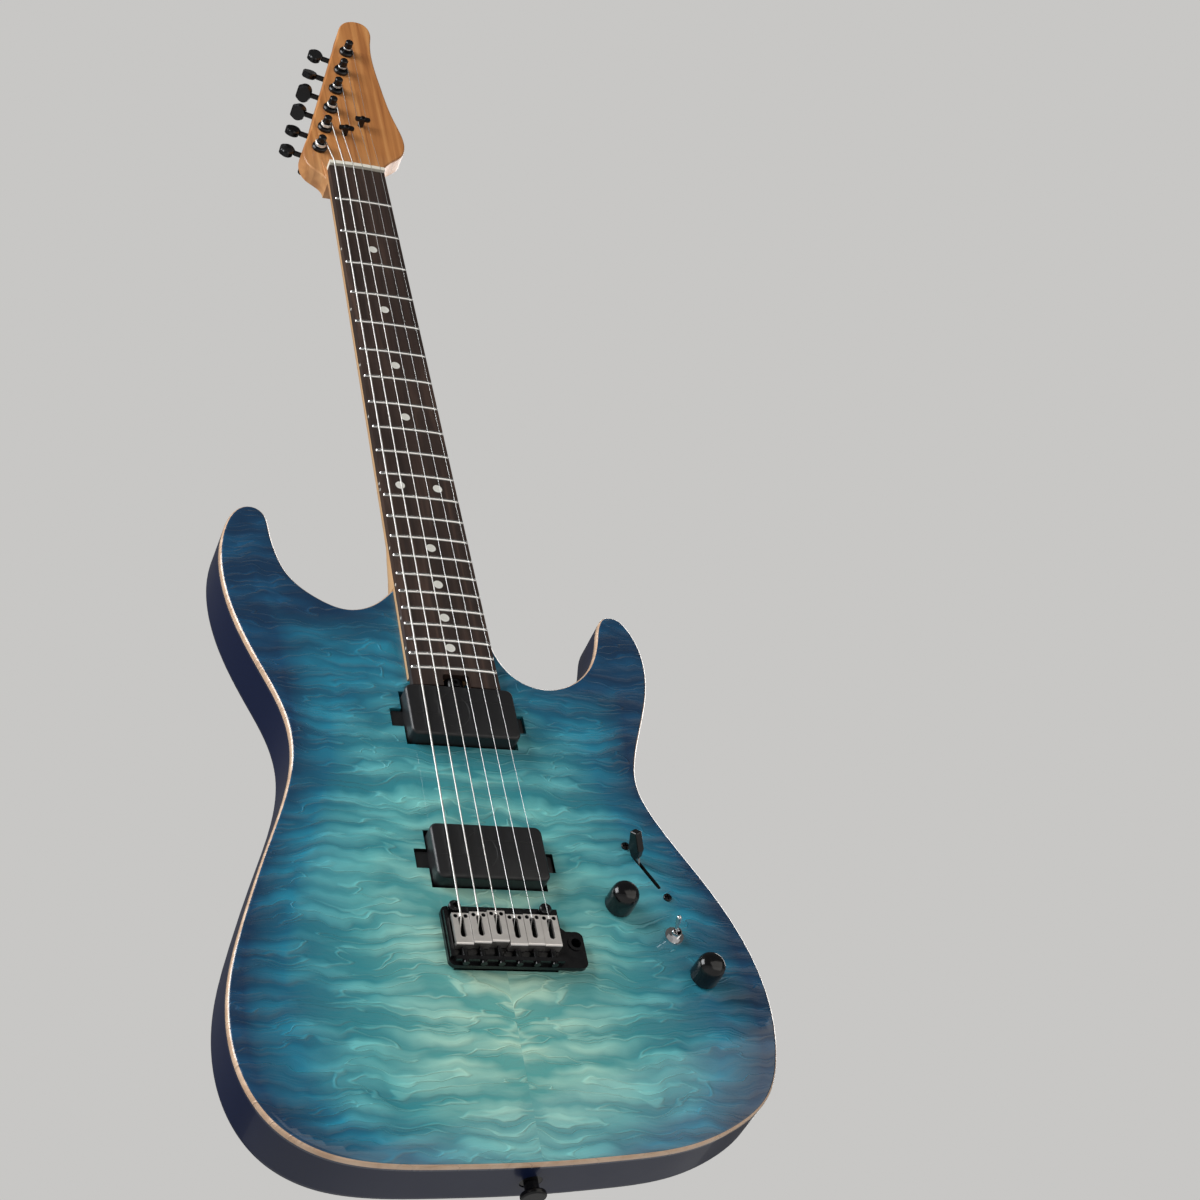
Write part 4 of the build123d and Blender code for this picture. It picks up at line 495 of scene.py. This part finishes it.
POCKET_Z = 0.32645
ROD_SLOT = 0.0089
half, low = half_width(POCKET_Z) + 0.0002, NECK_PICKUP_Z
mouth = [(0.0281, 0.3679), (half, POCKET_Z), (ROD_SLOT, POCKET_Z), (ROD_SLOT, low + WELL_Z),
         (WELL_X, low + WELL_Z), (WELL_X, low + EAR_Z), (EAR_X, low + EAR_Z), (EAR_X, low - EAR_Z),
         (WELL_X, low - EAR_Z), (WELL_X, low - WELL_Z)]
mouth += [(-x, z) for x, z in reversed(mouth[1:])] + [(-0.02755, 0.3990)]
print(len(holes), "holes and a neck pocket")

# %% [markdown]
# One large face with holes would shade badly and could not store the burst. A net of small, even
# triangles can, and a constrained triangulation keeps every hole's edge exactly where it was drawn.

# %% Fill the top's face with a net of triangles
EDGE_STEPS = [(EDGE_ROUND * (1 - math.sin(t)), EDGE_ROUND * (1 - math.cos(t)))
              for t in np.linspace(0, math.pi / 2, 8)] + [(0.0, CAP)]
flat_rim = outline + inward * EDGE_STEPS[0][0]
rim = [tuple(p) for p in flat_rim] + mouth
loops = [rim] + holes
flat, spans = [], []
for loop in loops:
    spans.append((len(flat), len(loop)))
    flat += [Vector(p) for p in loop]
edges = [(first + i, first + (i + 1) % count) for first, count in spans for i in range(count)]


def inside(points, loop):
    """Which points lie inside a closed loop."""
    loop = np.array(loop)
    result = np.zeros(len(points), bool)
    for a, b in zip(loop, np.roll(loop, -1, axis=0)):
        crosses = (a[1] > points[:, 1]) != (b[1] > points[:, 1])
        height = np.where(b[1] == a[1], 1e-12, b[1] - a[1])
        result ^= crosses & (points[:, 0] < (b[0] - a[0]) * (points[:, 1] - a[1]) / height + a[0])
    return result


def off_loops(points, gap):
    """Which points keep a gap from every loop's corners and edges."""
    keep = np.ones(len(points), bool)
    for loop in loops:
        ring_points = np.array(loop)
        for a, b in zip(ring_points, np.roll(ring_points, -1, axis=0)):
            along = np.clip(((points - a) @ (b - a)) / max((b - a) @ (b - a), 1e-12), 0, 1)
            keep &= np.linalg.norm(points - a - along[:, None] * (b - a), axis=1) > gap
    return keep


GRID = 0.0042
xs, zs = np.meshgrid(np.arange(-0.166, 0.165, GRID), np.arange(0.0, 0.461, GRID * 0.87))
xs[::2] += GRID / 2
net = np.stack([xs.ravel(), zs.ravel()], axis=1)
net = net[inside(net, rim)]
net = net[off_loops(net, GRID * 0.45)]
flat += [Vector(p) for p in net]
points2, _, triangles, sources, _, _ = delaunay_2d_cdt(flat, edges, [], 0, 1e-7)
points2 = np.array([tuple(p) for p in points2])
middles = np.array([points2[list(t)].mean(axis=0) for t in triangles])
keep = inside(middles, rim)
for hole in holes:
    keep &= ~inside(middles, hole)
triangles = [t for t, k in zip(triangles, keep) if k]
print("net:", len(net), "points,", len(triangles), "triangles")

# %% [markdown]
# The face then gets its thickness. Rings of points step down round the rim in a quarter circle, and the
# back repeats the face the other way round. A Bevel modifier could round the rim, but it would also
# round the holes, which are cut square.

# %% Give the top its thickness and rounded edge
place = {old: new for new, olds in enumerate(sources) for old in olds}
index = [[place[first + i] for i in range(count)] for first, count in spans]
depths = [(x, FACE, z) for x, z in points2]
back = [(x, FACE + CAP, z) for x, z in points2]
faces = [tuple(t) for t in triangles]
rings = [index[0]]
for inset, deep_y in EDGE_STEPS[1:]:
    around = [(*(p + n * inset), deep_y) for p, n in zip(outline, inward)] + [(*p, deep_y) for p in mouth]
    rings.append(list(range(len(depths), len(depths) + len(around))))
    depths += [(x, FACE + deep_y, z) for x, z, deep_y in around]
lower = {i: len(depths) + k for k, i in enumerate(sorted({i for t in triangles for i in t} - set(index[0])))}
depths += [back[i] for i in sorted(lower)]
lower.update({i: j for i, j in zip(index[0], rings[-1])})
faces += [tuple(lower[i] for i in reversed(t)) for t in triangles]
for upper, under in zip(rings, rings[1:]):
    faces += [(upper[i], upper[i - 1], under[i - 1], under[i]) for i in range(len(upper))]
walls = len(faces)
for loop in index[1:]:
    faces += [(loop[i - 1], loop[i], lower[loop[i]], lower[loop[i - 1]]) for i in range(len(loop))]
top = piece("figured_top", depths, faces, quilt)
top.data.materials.append(cover_black)
for face in top.data.polygons[walls:]:
    face.material_index = 1
crease(top, 40)

# %% [markdown]
# The burst is a soft oval round the belly, a touch below the bridge, mixed with the distance from the
# rim. The edge value is that distance alone, and it tells the finish where the bare line starts.

# %% Store the burst and the edge distance on the top
spots = np.array(depths)[:, [0, 2]]
away = np.full(len(spots), 1.0)
for a, b in zip(outline, outline[1:]):
    along = np.clip(((spots - a) @ (b - a)) / ((b - a) @ (b - a)), 0, 1)
    away = np.minimum(away, np.linalg.norm(spots - a - along[:, None] * (b - a), axis=1))
x, z = spots[:, 0], spots[:, 1]
oval = np.hypot((x + 0.004) / 0.158, np.where(z > 0.100, (z - 0.100) / 0.300, (z - 0.100) / 0.230))
rim_dark = np.clip(1 - away / 0.034, 0, 1) ** 1.5 * (0.25 + 0.75 * np.clip(np.abs(x) / 0.11, 0, 1))
value = np.clip(oval, 0, 1.1) ** 1.5 * 0.80 + rim_dark * 0.36
for name, data in (("burst", value), ("edge", away)):
    layer = top.data.attributes.new(name, "FLOAT", "POINT")
    layer.data.foreach_set("value", data.astype(np.float32))
declare(top, "guitar", "top_finish", "body_top")
print("burst from", round(float(value.min()), 2), "to", round(float(value.max()), 2))

# %% [markdown]
# ## Frets by rule
# Each fret is the last one's distance from the bridge divided by the twelfth root of two. The node tree
# below knows only that rule and the board's taper. It places one bar per fret, stretches it to the
# board's width, then bends all of them to the board's crown.

# %% Helpers for node trees
def node_tree(name, inputs):
    """A geometry node tree with named number inputs, and a function that adds nodes to it."""
    tree = bpy.data.node_groups.new(name, "GeometryNodeTree")
    tree.interface.new_socket("Geometry", in_out="INPUT", socket_type="NodeSocketGeometry")
    sockets = {}
    for label, value in inputs.items():
        kind = "NodeSocketInt" if isinstance(value, int) else "NodeSocketFloat"
        sockets[label] = tree.interface.new_socket(label, in_out="INPUT", socket_type=kind).identifier
    tree.interface.new_socket("Geometry", in_out="OUTPUT", socket_type="NodeSocketGeometry")
    entry = tree.nodes.new("NodeGroupInput")
    leave = tree.nodes.new("NodeGroupOutput")
    return tree, sockets, entry, leave, adder(tree)


def grow(name, tree, sockets, inputs, material, seed_mesh=None):
    """Runs a tree once and keeps its result as a plain mesh."""
    start = bpy.data.objects.new(name + "_start", seed_mesh or bpy.data.meshes.new(name + "_start"))
    bpy.context.scene.collection.objects.link(start)
    modifier = start.modifiers.new("grow", "NODES")
    modifier.node_group = tree
    for label, value in inputs.items():
        modifier[sockets[label]] = value
    bpy.context.view_layer.update()
    graph = bpy.context.evaluated_depsgraph_get()
    mesh = bpy.data.meshes.new_from_object(start.evaluated_get(graph))
    bpy.data.objects.remove(start)
    mesh.name = name
    mesh.materials.clear()
    mesh.materials.append(material)
    thing = bpy.data.objects.new(name, mesh)
    bpy.context.scene.collection.objects.link(thing)
    return thing


# %% [markdown]
# An Array modifier can only repeat an even step, and fret gaps shrink. A tree with the rule in it also
# keeps the scale length and the board's taper as inputs that a reader can change.

# %% The fret tree
tree, sockets, entry, leave, add = node_tree("frets", {
    "Frets": 22, "Nut": NUT_Z, "Scale length": SCALE, "Nut half width": NUT_WIDTH / 2, "Widening": 0.0,
    "Crown": 0.4})
line = add("GeometryNodeMeshLine", {"Count": entry.outputs["Frets"]})
number = add("GeometryNodeInputIndex")
place = add("ShaderNodeMath", {0: number.outputs[0], 1: 1.0}, operation="ADD")
octave = add("ShaderNodeMath", {0: place.outputs[0], 1: -12.0}, operation="DIVIDE")
share = add("ShaderNodeMath", {0: 2.0, 1: octave.outputs[0]}, operation="POWER")
left = add("ShaderNodeMath", {0: 1.0, 1: share.outputs[0]}, operation="SUBTRACT")
travel = add("ShaderNodeMath", {0: left.outputs[0], 1: entry.outputs["Scale length"]}, operation="MULTIPLY")
height = add("ShaderNodeMath", {0: entry.outputs["Nut"], 1: travel.outputs[0]}, operation="SUBTRACT")
spot = add("ShaderNodeCombineXYZ", {"Z": height.outputs[0]})
placed = add("GeometryNodeSetPosition", {"Geometry": line.outputs["Mesh"], "Position": spot.outputs[0]})
width = add("ShaderNodeMath", {0: travel.outputs[0], 1: entry.outputs["Widening"],
                               2: entry.outputs["Nut half width"]}, operation="MULTIPLY_ADD")
stretch = add("ShaderNodeCombineXYZ", {"X": width.outputs[0], "Y": 1.0, "Z": 1.0})
bars = add("GeometryNodeInstanceOnPoints", {"Points": placed.outputs[0], "Scale": stretch.outputs[0],
                                            "Instance": entry.outputs["Geometry"]})
solid = add("GeometryNodeRealizeInstances", {"Geometry": bars.outputs[0]})
where = add("GeometryNodeInputPosition")
parts = add("ShaderNodeSeparateXYZ", {"Vector": where.outputs[0]})
square = add("ShaderNodeMath", {0: parts.outputs["X"], 1: 2.0}, operation="POWER")
twice = add("ShaderNodeMath", {0: entry.outputs["Crown"], 1: 2.0}, operation="MULTIPLY")
drop = add("ShaderNodeMath", {0: square.outputs[0], 1: twice.outputs[0]}, operation="DIVIDE")
down = add("ShaderNodeCombineXYZ", {"Y": drop.outputs[0]})
bent = add("GeometryNodeSetPosition", {"Geometry": solid.outputs[0], "Offset": down.outputs[0]})
dressed = add("GeometryNodeSetMaterial", {"Geometry": bent.outputs[0], "Material": fret_metal})
tree.links.new(dressed.outputs[0], leave.inputs[0])
print("fret tree:", len(tree.nodes), "nodes")

# %% [markdown]
# The bar itself is drawn once, one unit long to each side, with a flattened dome and dressed-down ends.
# The tree stretches it, so all the wires share one section, as they do when cut from one coil.

# %% One bar with rounded shoulders, then all the frets
WIRE_HALF, WIRE_TALL, WIRE_DEEP, SHOULDER = 0.0013, 0.0011, 0.0005, 0.15
profile = [(-WIRE_HALF, 0.0)]
profile += [(-WIRE_HALF * math.cos(t), -WIRE_TALL * math.sin(t) ** 0.8)
            for t in np.linspace(SHOULDER, math.pi - SHOULDER, 11)]
profile += [(WIRE_HALF, 0.0), (WIRE_HALF, WIRE_DEEP), (-WIRE_HALF, WIRE_DEEP)]
along = [(-1.0, 0.45), (-0.985, 1.0)] + [(x, 1.0) for x in np.linspace(-0.8, 0.8, 9)]
along += [(0.985, 1.0), (1.0, 0.45)]
points = [(x, FACE - BOARD_TOP + (y * tall if y < 0 else y), z) for x, tall in along for z, y in profile]
wide = len(profile)
faces = skin(len(along), wide)
faces += [tuple(range(wide))[::-1], tuple(range(len(points) - wide, len(points)))]
bar = crease(piece("fret_bar", points, faces, fret_metal), 50)
bar_mesh = bar.data
bpy.data.objects.remove(bar)
widening = BOARD_WIDENS / 2 / (NUT_Z - BOARD_END)
frets = grow("fret_wires", tree, sockets, {"Frets": 22, "Nut": NUT_Z, "Scale length": SCALE,
             "Nut half width": 0.0206, "Widening": widening, "Crown": BOARD_RADIUS}, fret_metal, bar_mesh)
declare(frets, "guitar", "fret_wire", "frets")

# %% [markdown]
# ## Strings
# A string leaves its ball in the block, bends over the saddle, runs straight to the nut and wraps its
# post. When the tremolo dives, the saddle carries the string's end towards the neck. So the speaking
# length is its own piece, anchored at the nut.

# %% Where the strings run
def nut_point(i):
    """The string's centre at the nut."""
    x = -0.0175 + 0.007 * i
    return on_face(x, BOARD_TOP - x * x / (2 * BOARD_RADIUS) + 0.0016 + STRING_RADII[i], NUT_Z)


def saddle_point(i):
    """The string's centre where it breaks over its saddle."""
    x = -2.5 * STRING_GAP + STRING_GAP * i
    stagger = (0.0, 0.0007, 0.0016, -0.0006, 0.0, 0.0)[i]
    return on_face(x, BOARD_TOP - x * x / (2 * BOARD_RADIUS) + 0.0043, 0.148 + stagger)


def head_point(along, inward_m):
    """A place on the headstock by its distance up the bass edge and in from it."""
    lean = math.radians(16.9)
    return (-0.0383 + along * math.sin(lean) + inward_m * math.cos(lean),
            NUT_Z + 0.012 + along * math.cos(lean) - inward_m * math.sin(lean))


def post_at(i):
    """The centre of a tuner's post."""
    return head_point(0.0205 + 0.025 * i, 0.0102)


BLOCK_Z, SPRING_LINE = 0.140, 0.0346
POST_WRAP = 0.0031
TREE_ABOVE_NUT = {2: 0.049, 3: 0.049, 4: 0.062, 5: 0.062}
print("low string:", [round(c, 4) for c in nut_point(0)], "to", [round(c, 4) for c in saddle_point(0)])

# %% [markdown]
# Each string is three pieces. Its tail rides on the tremolo, and its speaking length and head stay
# with the neck. One long tube would be simpler, but it could not follow the bridge.

# %% Make the strings
for i, radius in enumerate(STRING_RADII):
    nut, saddle = nut_point(i), saddle_point(i)
    finish = wound_wire if i < 3 else plain_wire
    speaking = gather(f"string_{i + 1}", [tube([saddle + (nut - saddle) * t for t in np.linspace(0, 1, 9)],
                                               radius, 12)], finish)
    declare(speaking, "guitar", "string_wire", "strings")
    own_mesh(speaking)
    bore = Vector((saddle.x, FACE - 0.0056, BLOCK_Z))
    foot = Vector((saddle.x, FACE + 0.0284, BLOCK_Z))
    middle = bore.lerp(saddle, 0.5)
    tail_path = [foot, bore + Vector((0, 0.001, 0)), bore.lerp(middle, 0.2), middle,
                 saddle.lerp(bore, 0.06), saddle]
    ball = [foot + Vector((0, s, 0)) for s in (0.0, 0.0035)]
    tail = gather(f"string_tail_{i + 1}", [tube(tail_path, radius, 12), tube(ball, 0.0018, 16)], finish)
    declare(tail, "tremolo", "string_wire")
    x, z = post_at(i)
    reach = POST_WRAP + radius
    leave_x, leave_z = x + reach, z
    path = [nut, nut + Vector((0, 0, 0.0033))]
    if i in TREE_ABOVE_NUT:
        tree_z = NUT_Z + TREE_ABOVE_NUT[i]
        share = (tree_z - NUT_Z) / (leave_z - NUT_Z)
        path.append(on_face(nut.x + (leave_x - nut.x) * share, 0.0045 - radius, tree_z))
    path.append(on_face(leave_x, 0.0054, leave_z))
    turns = 3 if i < 3 else 4
    coil = []
    for k in range(turns * 24):
        t = 2 * math.pi * k / 24
        low_h = 0.0054 - k / 24 * radius * 2.02
        coil.append(on_face(x + reach * math.cos(t), max(low_h, 0.0032), z + reach * math.sin(t)))
    head = gather(f"string_head_{i + 1}", [tube(path, radius, 12), tube(coil, radius * 0.98, 8)], finish)
    declare(head, "guitar", "string_wire")

# %% [markdown]
# ## Coils by node tree
# One tree makes every coil spring: a spiral, a round profile swept along it, and one copy per row. It
# serves the three long springs behind the body and the six small ones behind the saddles.

# %% The coil tree
tree, sockets, entry, leave, add = node_tree("coils", {
    "Copies": 3, "Spacing": STRING_GAP, "Turns": 20.0, "Radius": 0.0032, "Wire": 0.0006, "Length": 0.06})
spiral = add("GeometryNodeCurveSpiral", {"Resolution": 14, "Rotations": entry.outputs["Turns"],
                                         "Start Radius": entry.outputs["Radius"],
                                         "End Radius": entry.outputs["Radius"],
                                         "Height": entry.outputs["Length"]})
circle = add("GeometryNodeCurvePrimitiveCircle", {"Resolution": 6, "Radius": entry.outputs["Wire"]})
swept = add("GeometryNodeCurveToMesh", {"Curve": spiral.outputs[0], "Profile Curve": circle.outputs["Curve"],
                                        "Fill Caps": True})
step = add("ShaderNodeCombineXYZ", {"X": entry.outputs["Spacing"]})
row = add("GeometryNodeMeshLine", {"Count": entry.outputs["Copies"], "Offset": step.outputs[0]})
copies = add("GeometryNodeInstanceOnPoints", {"Points": row.outputs["Mesh"], "Instance": swept.outputs[0]})
solid = add("GeometryNodeRealizeInstances", {"Geometry": copies.outputs[0]})
smooth = add("GeometryNodeSetShadeSmooth", {"Geometry": solid.outputs[0]})
dressed = add("GeometryNodeSetMaterial", {"Geometry": smooth.outputs[0], "Material": steel})
tree.links.new(dressed.outputs[0], leave.inputs[0])
print("coil tree:", len(tree.nodes), "nodes")


def coils(name, copies, spacing, turns, radius, thick, length, corner, material):
    """A row of coils that starts at a corner point, moved there in the mesh itself."""
    thing = grow(name, tree, sockets, {"Copies": copies, "Spacing": spacing, "Turns": float(turns),
                                       "Radius": radius, "Wire": thick, "Length": length}, material)
    thing.data.transform(Matrix.Translation(corner))
    return thing


# %% [markdown]
# The long springs hook on the block at one end and on the claw at the other, and the small ones push
# the saddles against their screws. The long ones stretch when the bridge moves.

# %% Long springs, with their hooks, and the small ones behind the saddles
COIL_RADIUS, COIL_WIRE, COIL_LOW, COIL_HIGH = 0.0032, 0.0006, 0.1625, 0.2285
spring_y = FACE + SPRING_LINE
long_springs = coils("body_springs", 3, STRING_GAP, 46, COIL_RADIUS, COIL_WIRE, 0.066,
                     Vector((-STRING_GAP, spring_y, COIL_LOW)), steel)
hooks = []
for x in (-STRING_GAP, 0.0, STRING_GAP):
    hooks.append(tube([(x, spring_y - 0.005, BLOCK_Z), (x, spring_y, BLOCK_Z), (x, spring_y, 0.150),
                       (x + COIL_RADIUS, spring_y, COIL_LOW)], COIL_WIRE, 8))
    hooks.append(tube([(x + COIL_RADIUS, spring_y, COIL_HIGH), (x, spring_y, 0.230),
                       (x, spring_y, 0.2354)], COIL_WIRE, 8))
hook_piece = gather("spring_hooks", hooks, steel)
for thing in (long_springs, hook_piece):
    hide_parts("tremolo_springs")
    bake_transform(thing)
small = coils("saddle_springs", 6, STRING_GAP, 7, 0.0017, 0.00028, 0.0055,
              Vector((-2.5 * STRING_GAP, FACE - 0.0079, 0.1236)), black_metal)
declare(small, "tremolo", "black_metal")

# %% [markdown]
# ## Knobs
# The knobs are glossy domes with a soft top and a slightly narrower waist. Each is turned in one piece
# with the shaft that runs down into its potentiometer. A lathe profile gives that outline directly,
# where a sphere and a cylinder would leave a seam.

# %% Turn the two knobs
DOME = [(0.0, 0.0182), (0.0025, 0.0181), (0.0045, 0.01775), (0.0062, 0.0170), (0.0074, 0.0159),
        (0.0082, 0.0145), (0.00862, 0.0126), (0.0088, 0.0100), (0.0089, 0.0060), (0.0089, 0.0013),
        (0.0086, 0.0009), (0.0080, 0.0008), (0.0070, 0.0008), (0.0070, 0.0032), (0.0030, 0.0032),
        (0.0030, -0.0130), (0.0, -0.0130)]
KNOB_POLE = 0.00002
for name, (x, z) in (("volume", VOLUME_AT), ("tone", TONE_AT)):
    dome = [(max(r, KNOB_POLE), along) for r, along in DOME]
    knob = lathe(f"{name}_dome", dome, on_face(x, 0, z), (0, -1, 0), knob_black)
    declare(knob, name, "knob_black", f"{name}_knob")

# %% [markdown]
# ## Pickup covers
# Each pickup is sealed in a satin moulded shell with soft corners, and two ears take its screws. Shallow
# moulded arcs and a joint line cross the shell, so it catches thin lines of light.

# %% A block with round corners and a soft top edge
def rounded_ring(x, z, wide, tall, corner, height, count=7):
    """A rounded rectangle at a height above the face."""
    points = []
    for quarter, (sx, sz) in enumerate(((1, 1), (-1, 1), (-1, -1), (1, -1))):
        for i in range(count):
            t = math.pi / 2 * (quarter + i / (count - 1))
            points.append(on_face(x + sx * (wide / 2 - corner) + corner * math.cos(t), height,
                                  z + sz * (tall / 2 - corner) + corner * math.sin(t)))
    return points


def soft_block(x, z, wide, tall, corner, bottom, top_h, soft):
    """Points and faces of a moulded block."""
    rings = [rounded_ring(x, z, wide, tall, corner, bottom)]
    for t in np.linspace(0, math.pi / 2, 6):
        inset = soft * (1 - math.cos(t))
        rings.append(rounded_ring(x, z, wide - 2 * inset, tall - 2 * inset, corner - inset * 0.9,
                                  top_h - soft + soft * math.sin(t)))
    count = len(rings[0])
    ends = [tuple(range(count)), tuple(range((len(rings) - 1) * count, len(rings) * count))]
    return [p for one in rings for p in one], skin(len(rings), count) + ends


for name, z in PICKUPS:
    shells = [soft_block(0, z, PICKUP_LONG, PICKUP_WIDE, 0.0045, -0.0115, 0.0102, 0.0017)]
    shell = gather(f"{name}_pickup_shell", shells, pickup_black)
    declare(shell, "guitar", "pickup_black", f"{name}_pickup_cover")
    ears = [soft_block(side * 0.0388, z, 0.0084, 0.0120, 0.0018, -0.0045, -0.0015, 0.0006)
            for side in (-1, 1)]
    declare(gather(f"{name}_pickup_ears", ears, pickup_black), "guitar", "pickup_black")

# %% [markdown]
# The lines could be only a bump in the finish, but real raised lines keep their shine in every view.
# Each is a very thin tube half sunk in the shell.

# %% Moulded lines on the covers
LINE_TOP, LINE_RADIUS = 0.01018, 0.00016
for name, z in PICKUPS:
    lines = []
    for x, radius, first, last in ((-0.0165, 0.0205, -52, 40), (0.0045, 0.0205, 128, 232)):
        arc = [math.radians(a) for a in np.linspace(first, last, 26)]
        path = [on_face(x + radius * math.cos(a), LINE_TOP, z + radius * 0.80 * math.sin(a)) for a in arc]
        lines.append(tube(path, LINE_RADIUS, 6))
    for first, last, off in ((-0.032, -0.002, -0.0035), (-0.004, 0.032, 0.0075), (0.019, 0.031, -0.0128)):
        ends = [on_face(first, LINE_TOP, z + off), on_face(last, LINE_TOP, z + off)]
        lines.append(tube(ends, LINE_RADIUS, 6))
    trace = gather(f"{name}_cover_lines", lines, cover_black)
    declare(trace, "guitar", "pickup_black")

# %% [markdown]
# ## Dress the parts that stay as they are
# The CAD shapes of the neck, the hardware and the electrics are already right, so they keep their mesh
# and only take a finish.

# %% Finish by slot
FINISHES = {"back_finish": navy, "neck_maple": maple, "rosewood": rosewood, "pearl": pearl,
            "nut_white": bone, "steel": steel, "black_metal": black_metal, "pickup_black": pickup_black,
            "cover_plastic": cover_black, "chrome": chrome, "battery_case": case,
            "saddle_steel": saddle_steel, "knob_black": knob_black, "string_wire": plain_wire,
            "fret_wire": fret_metal, "top_finish": quilt}
slots = {part["node"]: part["material_slot"] for part in frame["record"]["subparts"]}
for name, node in nodes.items():
    node.data.materials.clear()
    node.data.materials.append(FINISHES[slots[name]])
print("dressed", len(nodes), "nodes in", len(set(slots.values())), "finishes")

# %% [markdown]
# ## Studio
# The guitar stands in the air over a pale floor that glows a little, as a lit studio floor does. One
# large soft light stands for a window on the bass side, and a weaker one fills the front. The sky and
# the floor are pale to the eye but dim to the guitar, so the lacquer keeps its depth.

# %% Floor and sky
FLOOR_Z, FLOOR_REACH = -0.78, 90
FLOOR_GLOW, FLOOR_GLOW_TO_EYE = 0.34, 0.25
SKY_FRONT, SKY_BACK, SKY_TO_EYE = 0.10, 0.12, 0.62
PALE = (0.93, 0.92, 0.90, 1)
pale_floor = worn("floor", (0.22, 0.215, 0.21), 0.8, 0.05)
glow = pale_floor.node_tree.nodes["Principled BSDF"].inputs
glow["Emission Color"].default_value = PALE
add = adder(pale_floor.node_tree)
eye = add("ShaderNodeLightPath")
paler = add("ShaderNodeMath", {0: eye.outputs["Is Camera Ray"], 1: FLOOR_GLOW_TO_EYE, 2: FLOOR_GLOW},
            operation="MULTIPLY_ADD")
wire(pale_floor, paler.outputs[0], glow["Emission Strength"])
corners = [(-FLOOR_REACH, -FLOOR_REACH, FLOOR_Z), (FLOOR_REACH, -FLOOR_REACH, FLOOR_Z),
           (FLOOR_REACH, FLOOR_REACH, FLOOR_Z), (-FLOOR_REACH, FLOOR_REACH, FLOOR_Z)]
floor = piece("floor", corners, [(0, 1, 2, 3)], pale_floor)
sky = bpy.data.worlds.new("sky")
bpy.context.scene.world = sky
sky.use_nodes = True
add = adder(sky.node_tree)
split = add("ShaderNodeSeparateXYZ", {"Vector": add("ShaderNodeTexCoord").outputs["Generated"]})
behind = add("ShaderNodeMapRange", {"Value": split.outputs["Y"], "From Min": -0.6, "From Max": 0.7,
                                    "To Min": SKY_FRONT, "To Max": SKY_BACK})
eye = add("ShaderNodeLightPath")
pick = add("ShaderNodeMix", {"Factor": eye.outputs["Is Camera Ray"], "A": behind.outputs[0],
                             "B": SKY_TO_EYE})
plain = sky.node_tree.nodes["Background"]
wire(sky, pick.outputs["Result"], plain.inputs["Strength"])
plain.inputs["Color"].default_value = PALE
print("floor at", FLOOR_Z, "m, sky", SKY_TO_EYE, "to the eye")

# %% [markdown]
# Area lights give the long soft highlights that show a curved lacquered edge. Point lights would be
# simpler, but their small hot reflections hide the figure.

# %% Lamps
def lamp(name, place, target, size, watts, tint):
    """A square area light that faces a target."""
    light_data = bpy.data.lights.new(name, "AREA")
    light_data.size = size
    light_data.energy = watts
    light_data.color = tint
    thing = bpy.data.objects.new(name, light_data)
    thing.location = place
    thing.rotation_mode = "QUATERNION"
    thing.rotation_quaternion = (Vector(target) - Vector(place)).to_track_quat("-Z", "Y")
    bpy.context.scene.collection.objects.link(thing)
    return thing


belly = (0.0, 0.0, 0.2)
lamp("window", (-1.9, -1.0, 1.5), belly, 1.6, 70, (0.96, 0.98, 1.0))
lamp("room", (1.3, -1.8, 0.1), belly, 2.2, 14, (1.0, 0.96, 0.9))
lamp("rim", (1.5, 1.2, 1.6), (0, 0, 0.5), 1.4, 24, (1.0, 0.98, 0.95))
print("lamps:", len(bpy.data.lights))

# %% [markdown]
# ## Camera
# The view looks up the neck from below the body, a little from the bass side, through a short telephoto
# lens, so the headstock recedes and the belly fills the frame.

# %% Camera
CAMERA = Vector((-0.5118, -1.155, -0.591))
FORWARD = Vector((0.3842, 0.6932, 0.6098))
RIGHT = Vector((0.9199, -0.3438, -0.1888))
UP = Vector((-0.0788, -0.6335, 0.7697))
eye_data = bpy.data.cameras.new("camera")
eye_data.lens = 74.67
eye_data.sensor_width = 36.0
eye_data.dof.use_dof = False
eye_data.clip_start = 0.02
camera = bpy.data.objects.new("camera", eye_data)
pose = Matrix((RIGHT, UP, -FORWARD)).transposed().to_4x4()
pose.translation = CAMERA
camera.matrix_world = pose
bpy.context.scene.collection.objects.link(camera)
bpy.context.scene.camera = camera
bpy.context.scene.view_settings.view_transform = "Standard"
print("lens", round(eye_data.lens, 1), "mm, from", [round(c, 2) for c in CAMERA])
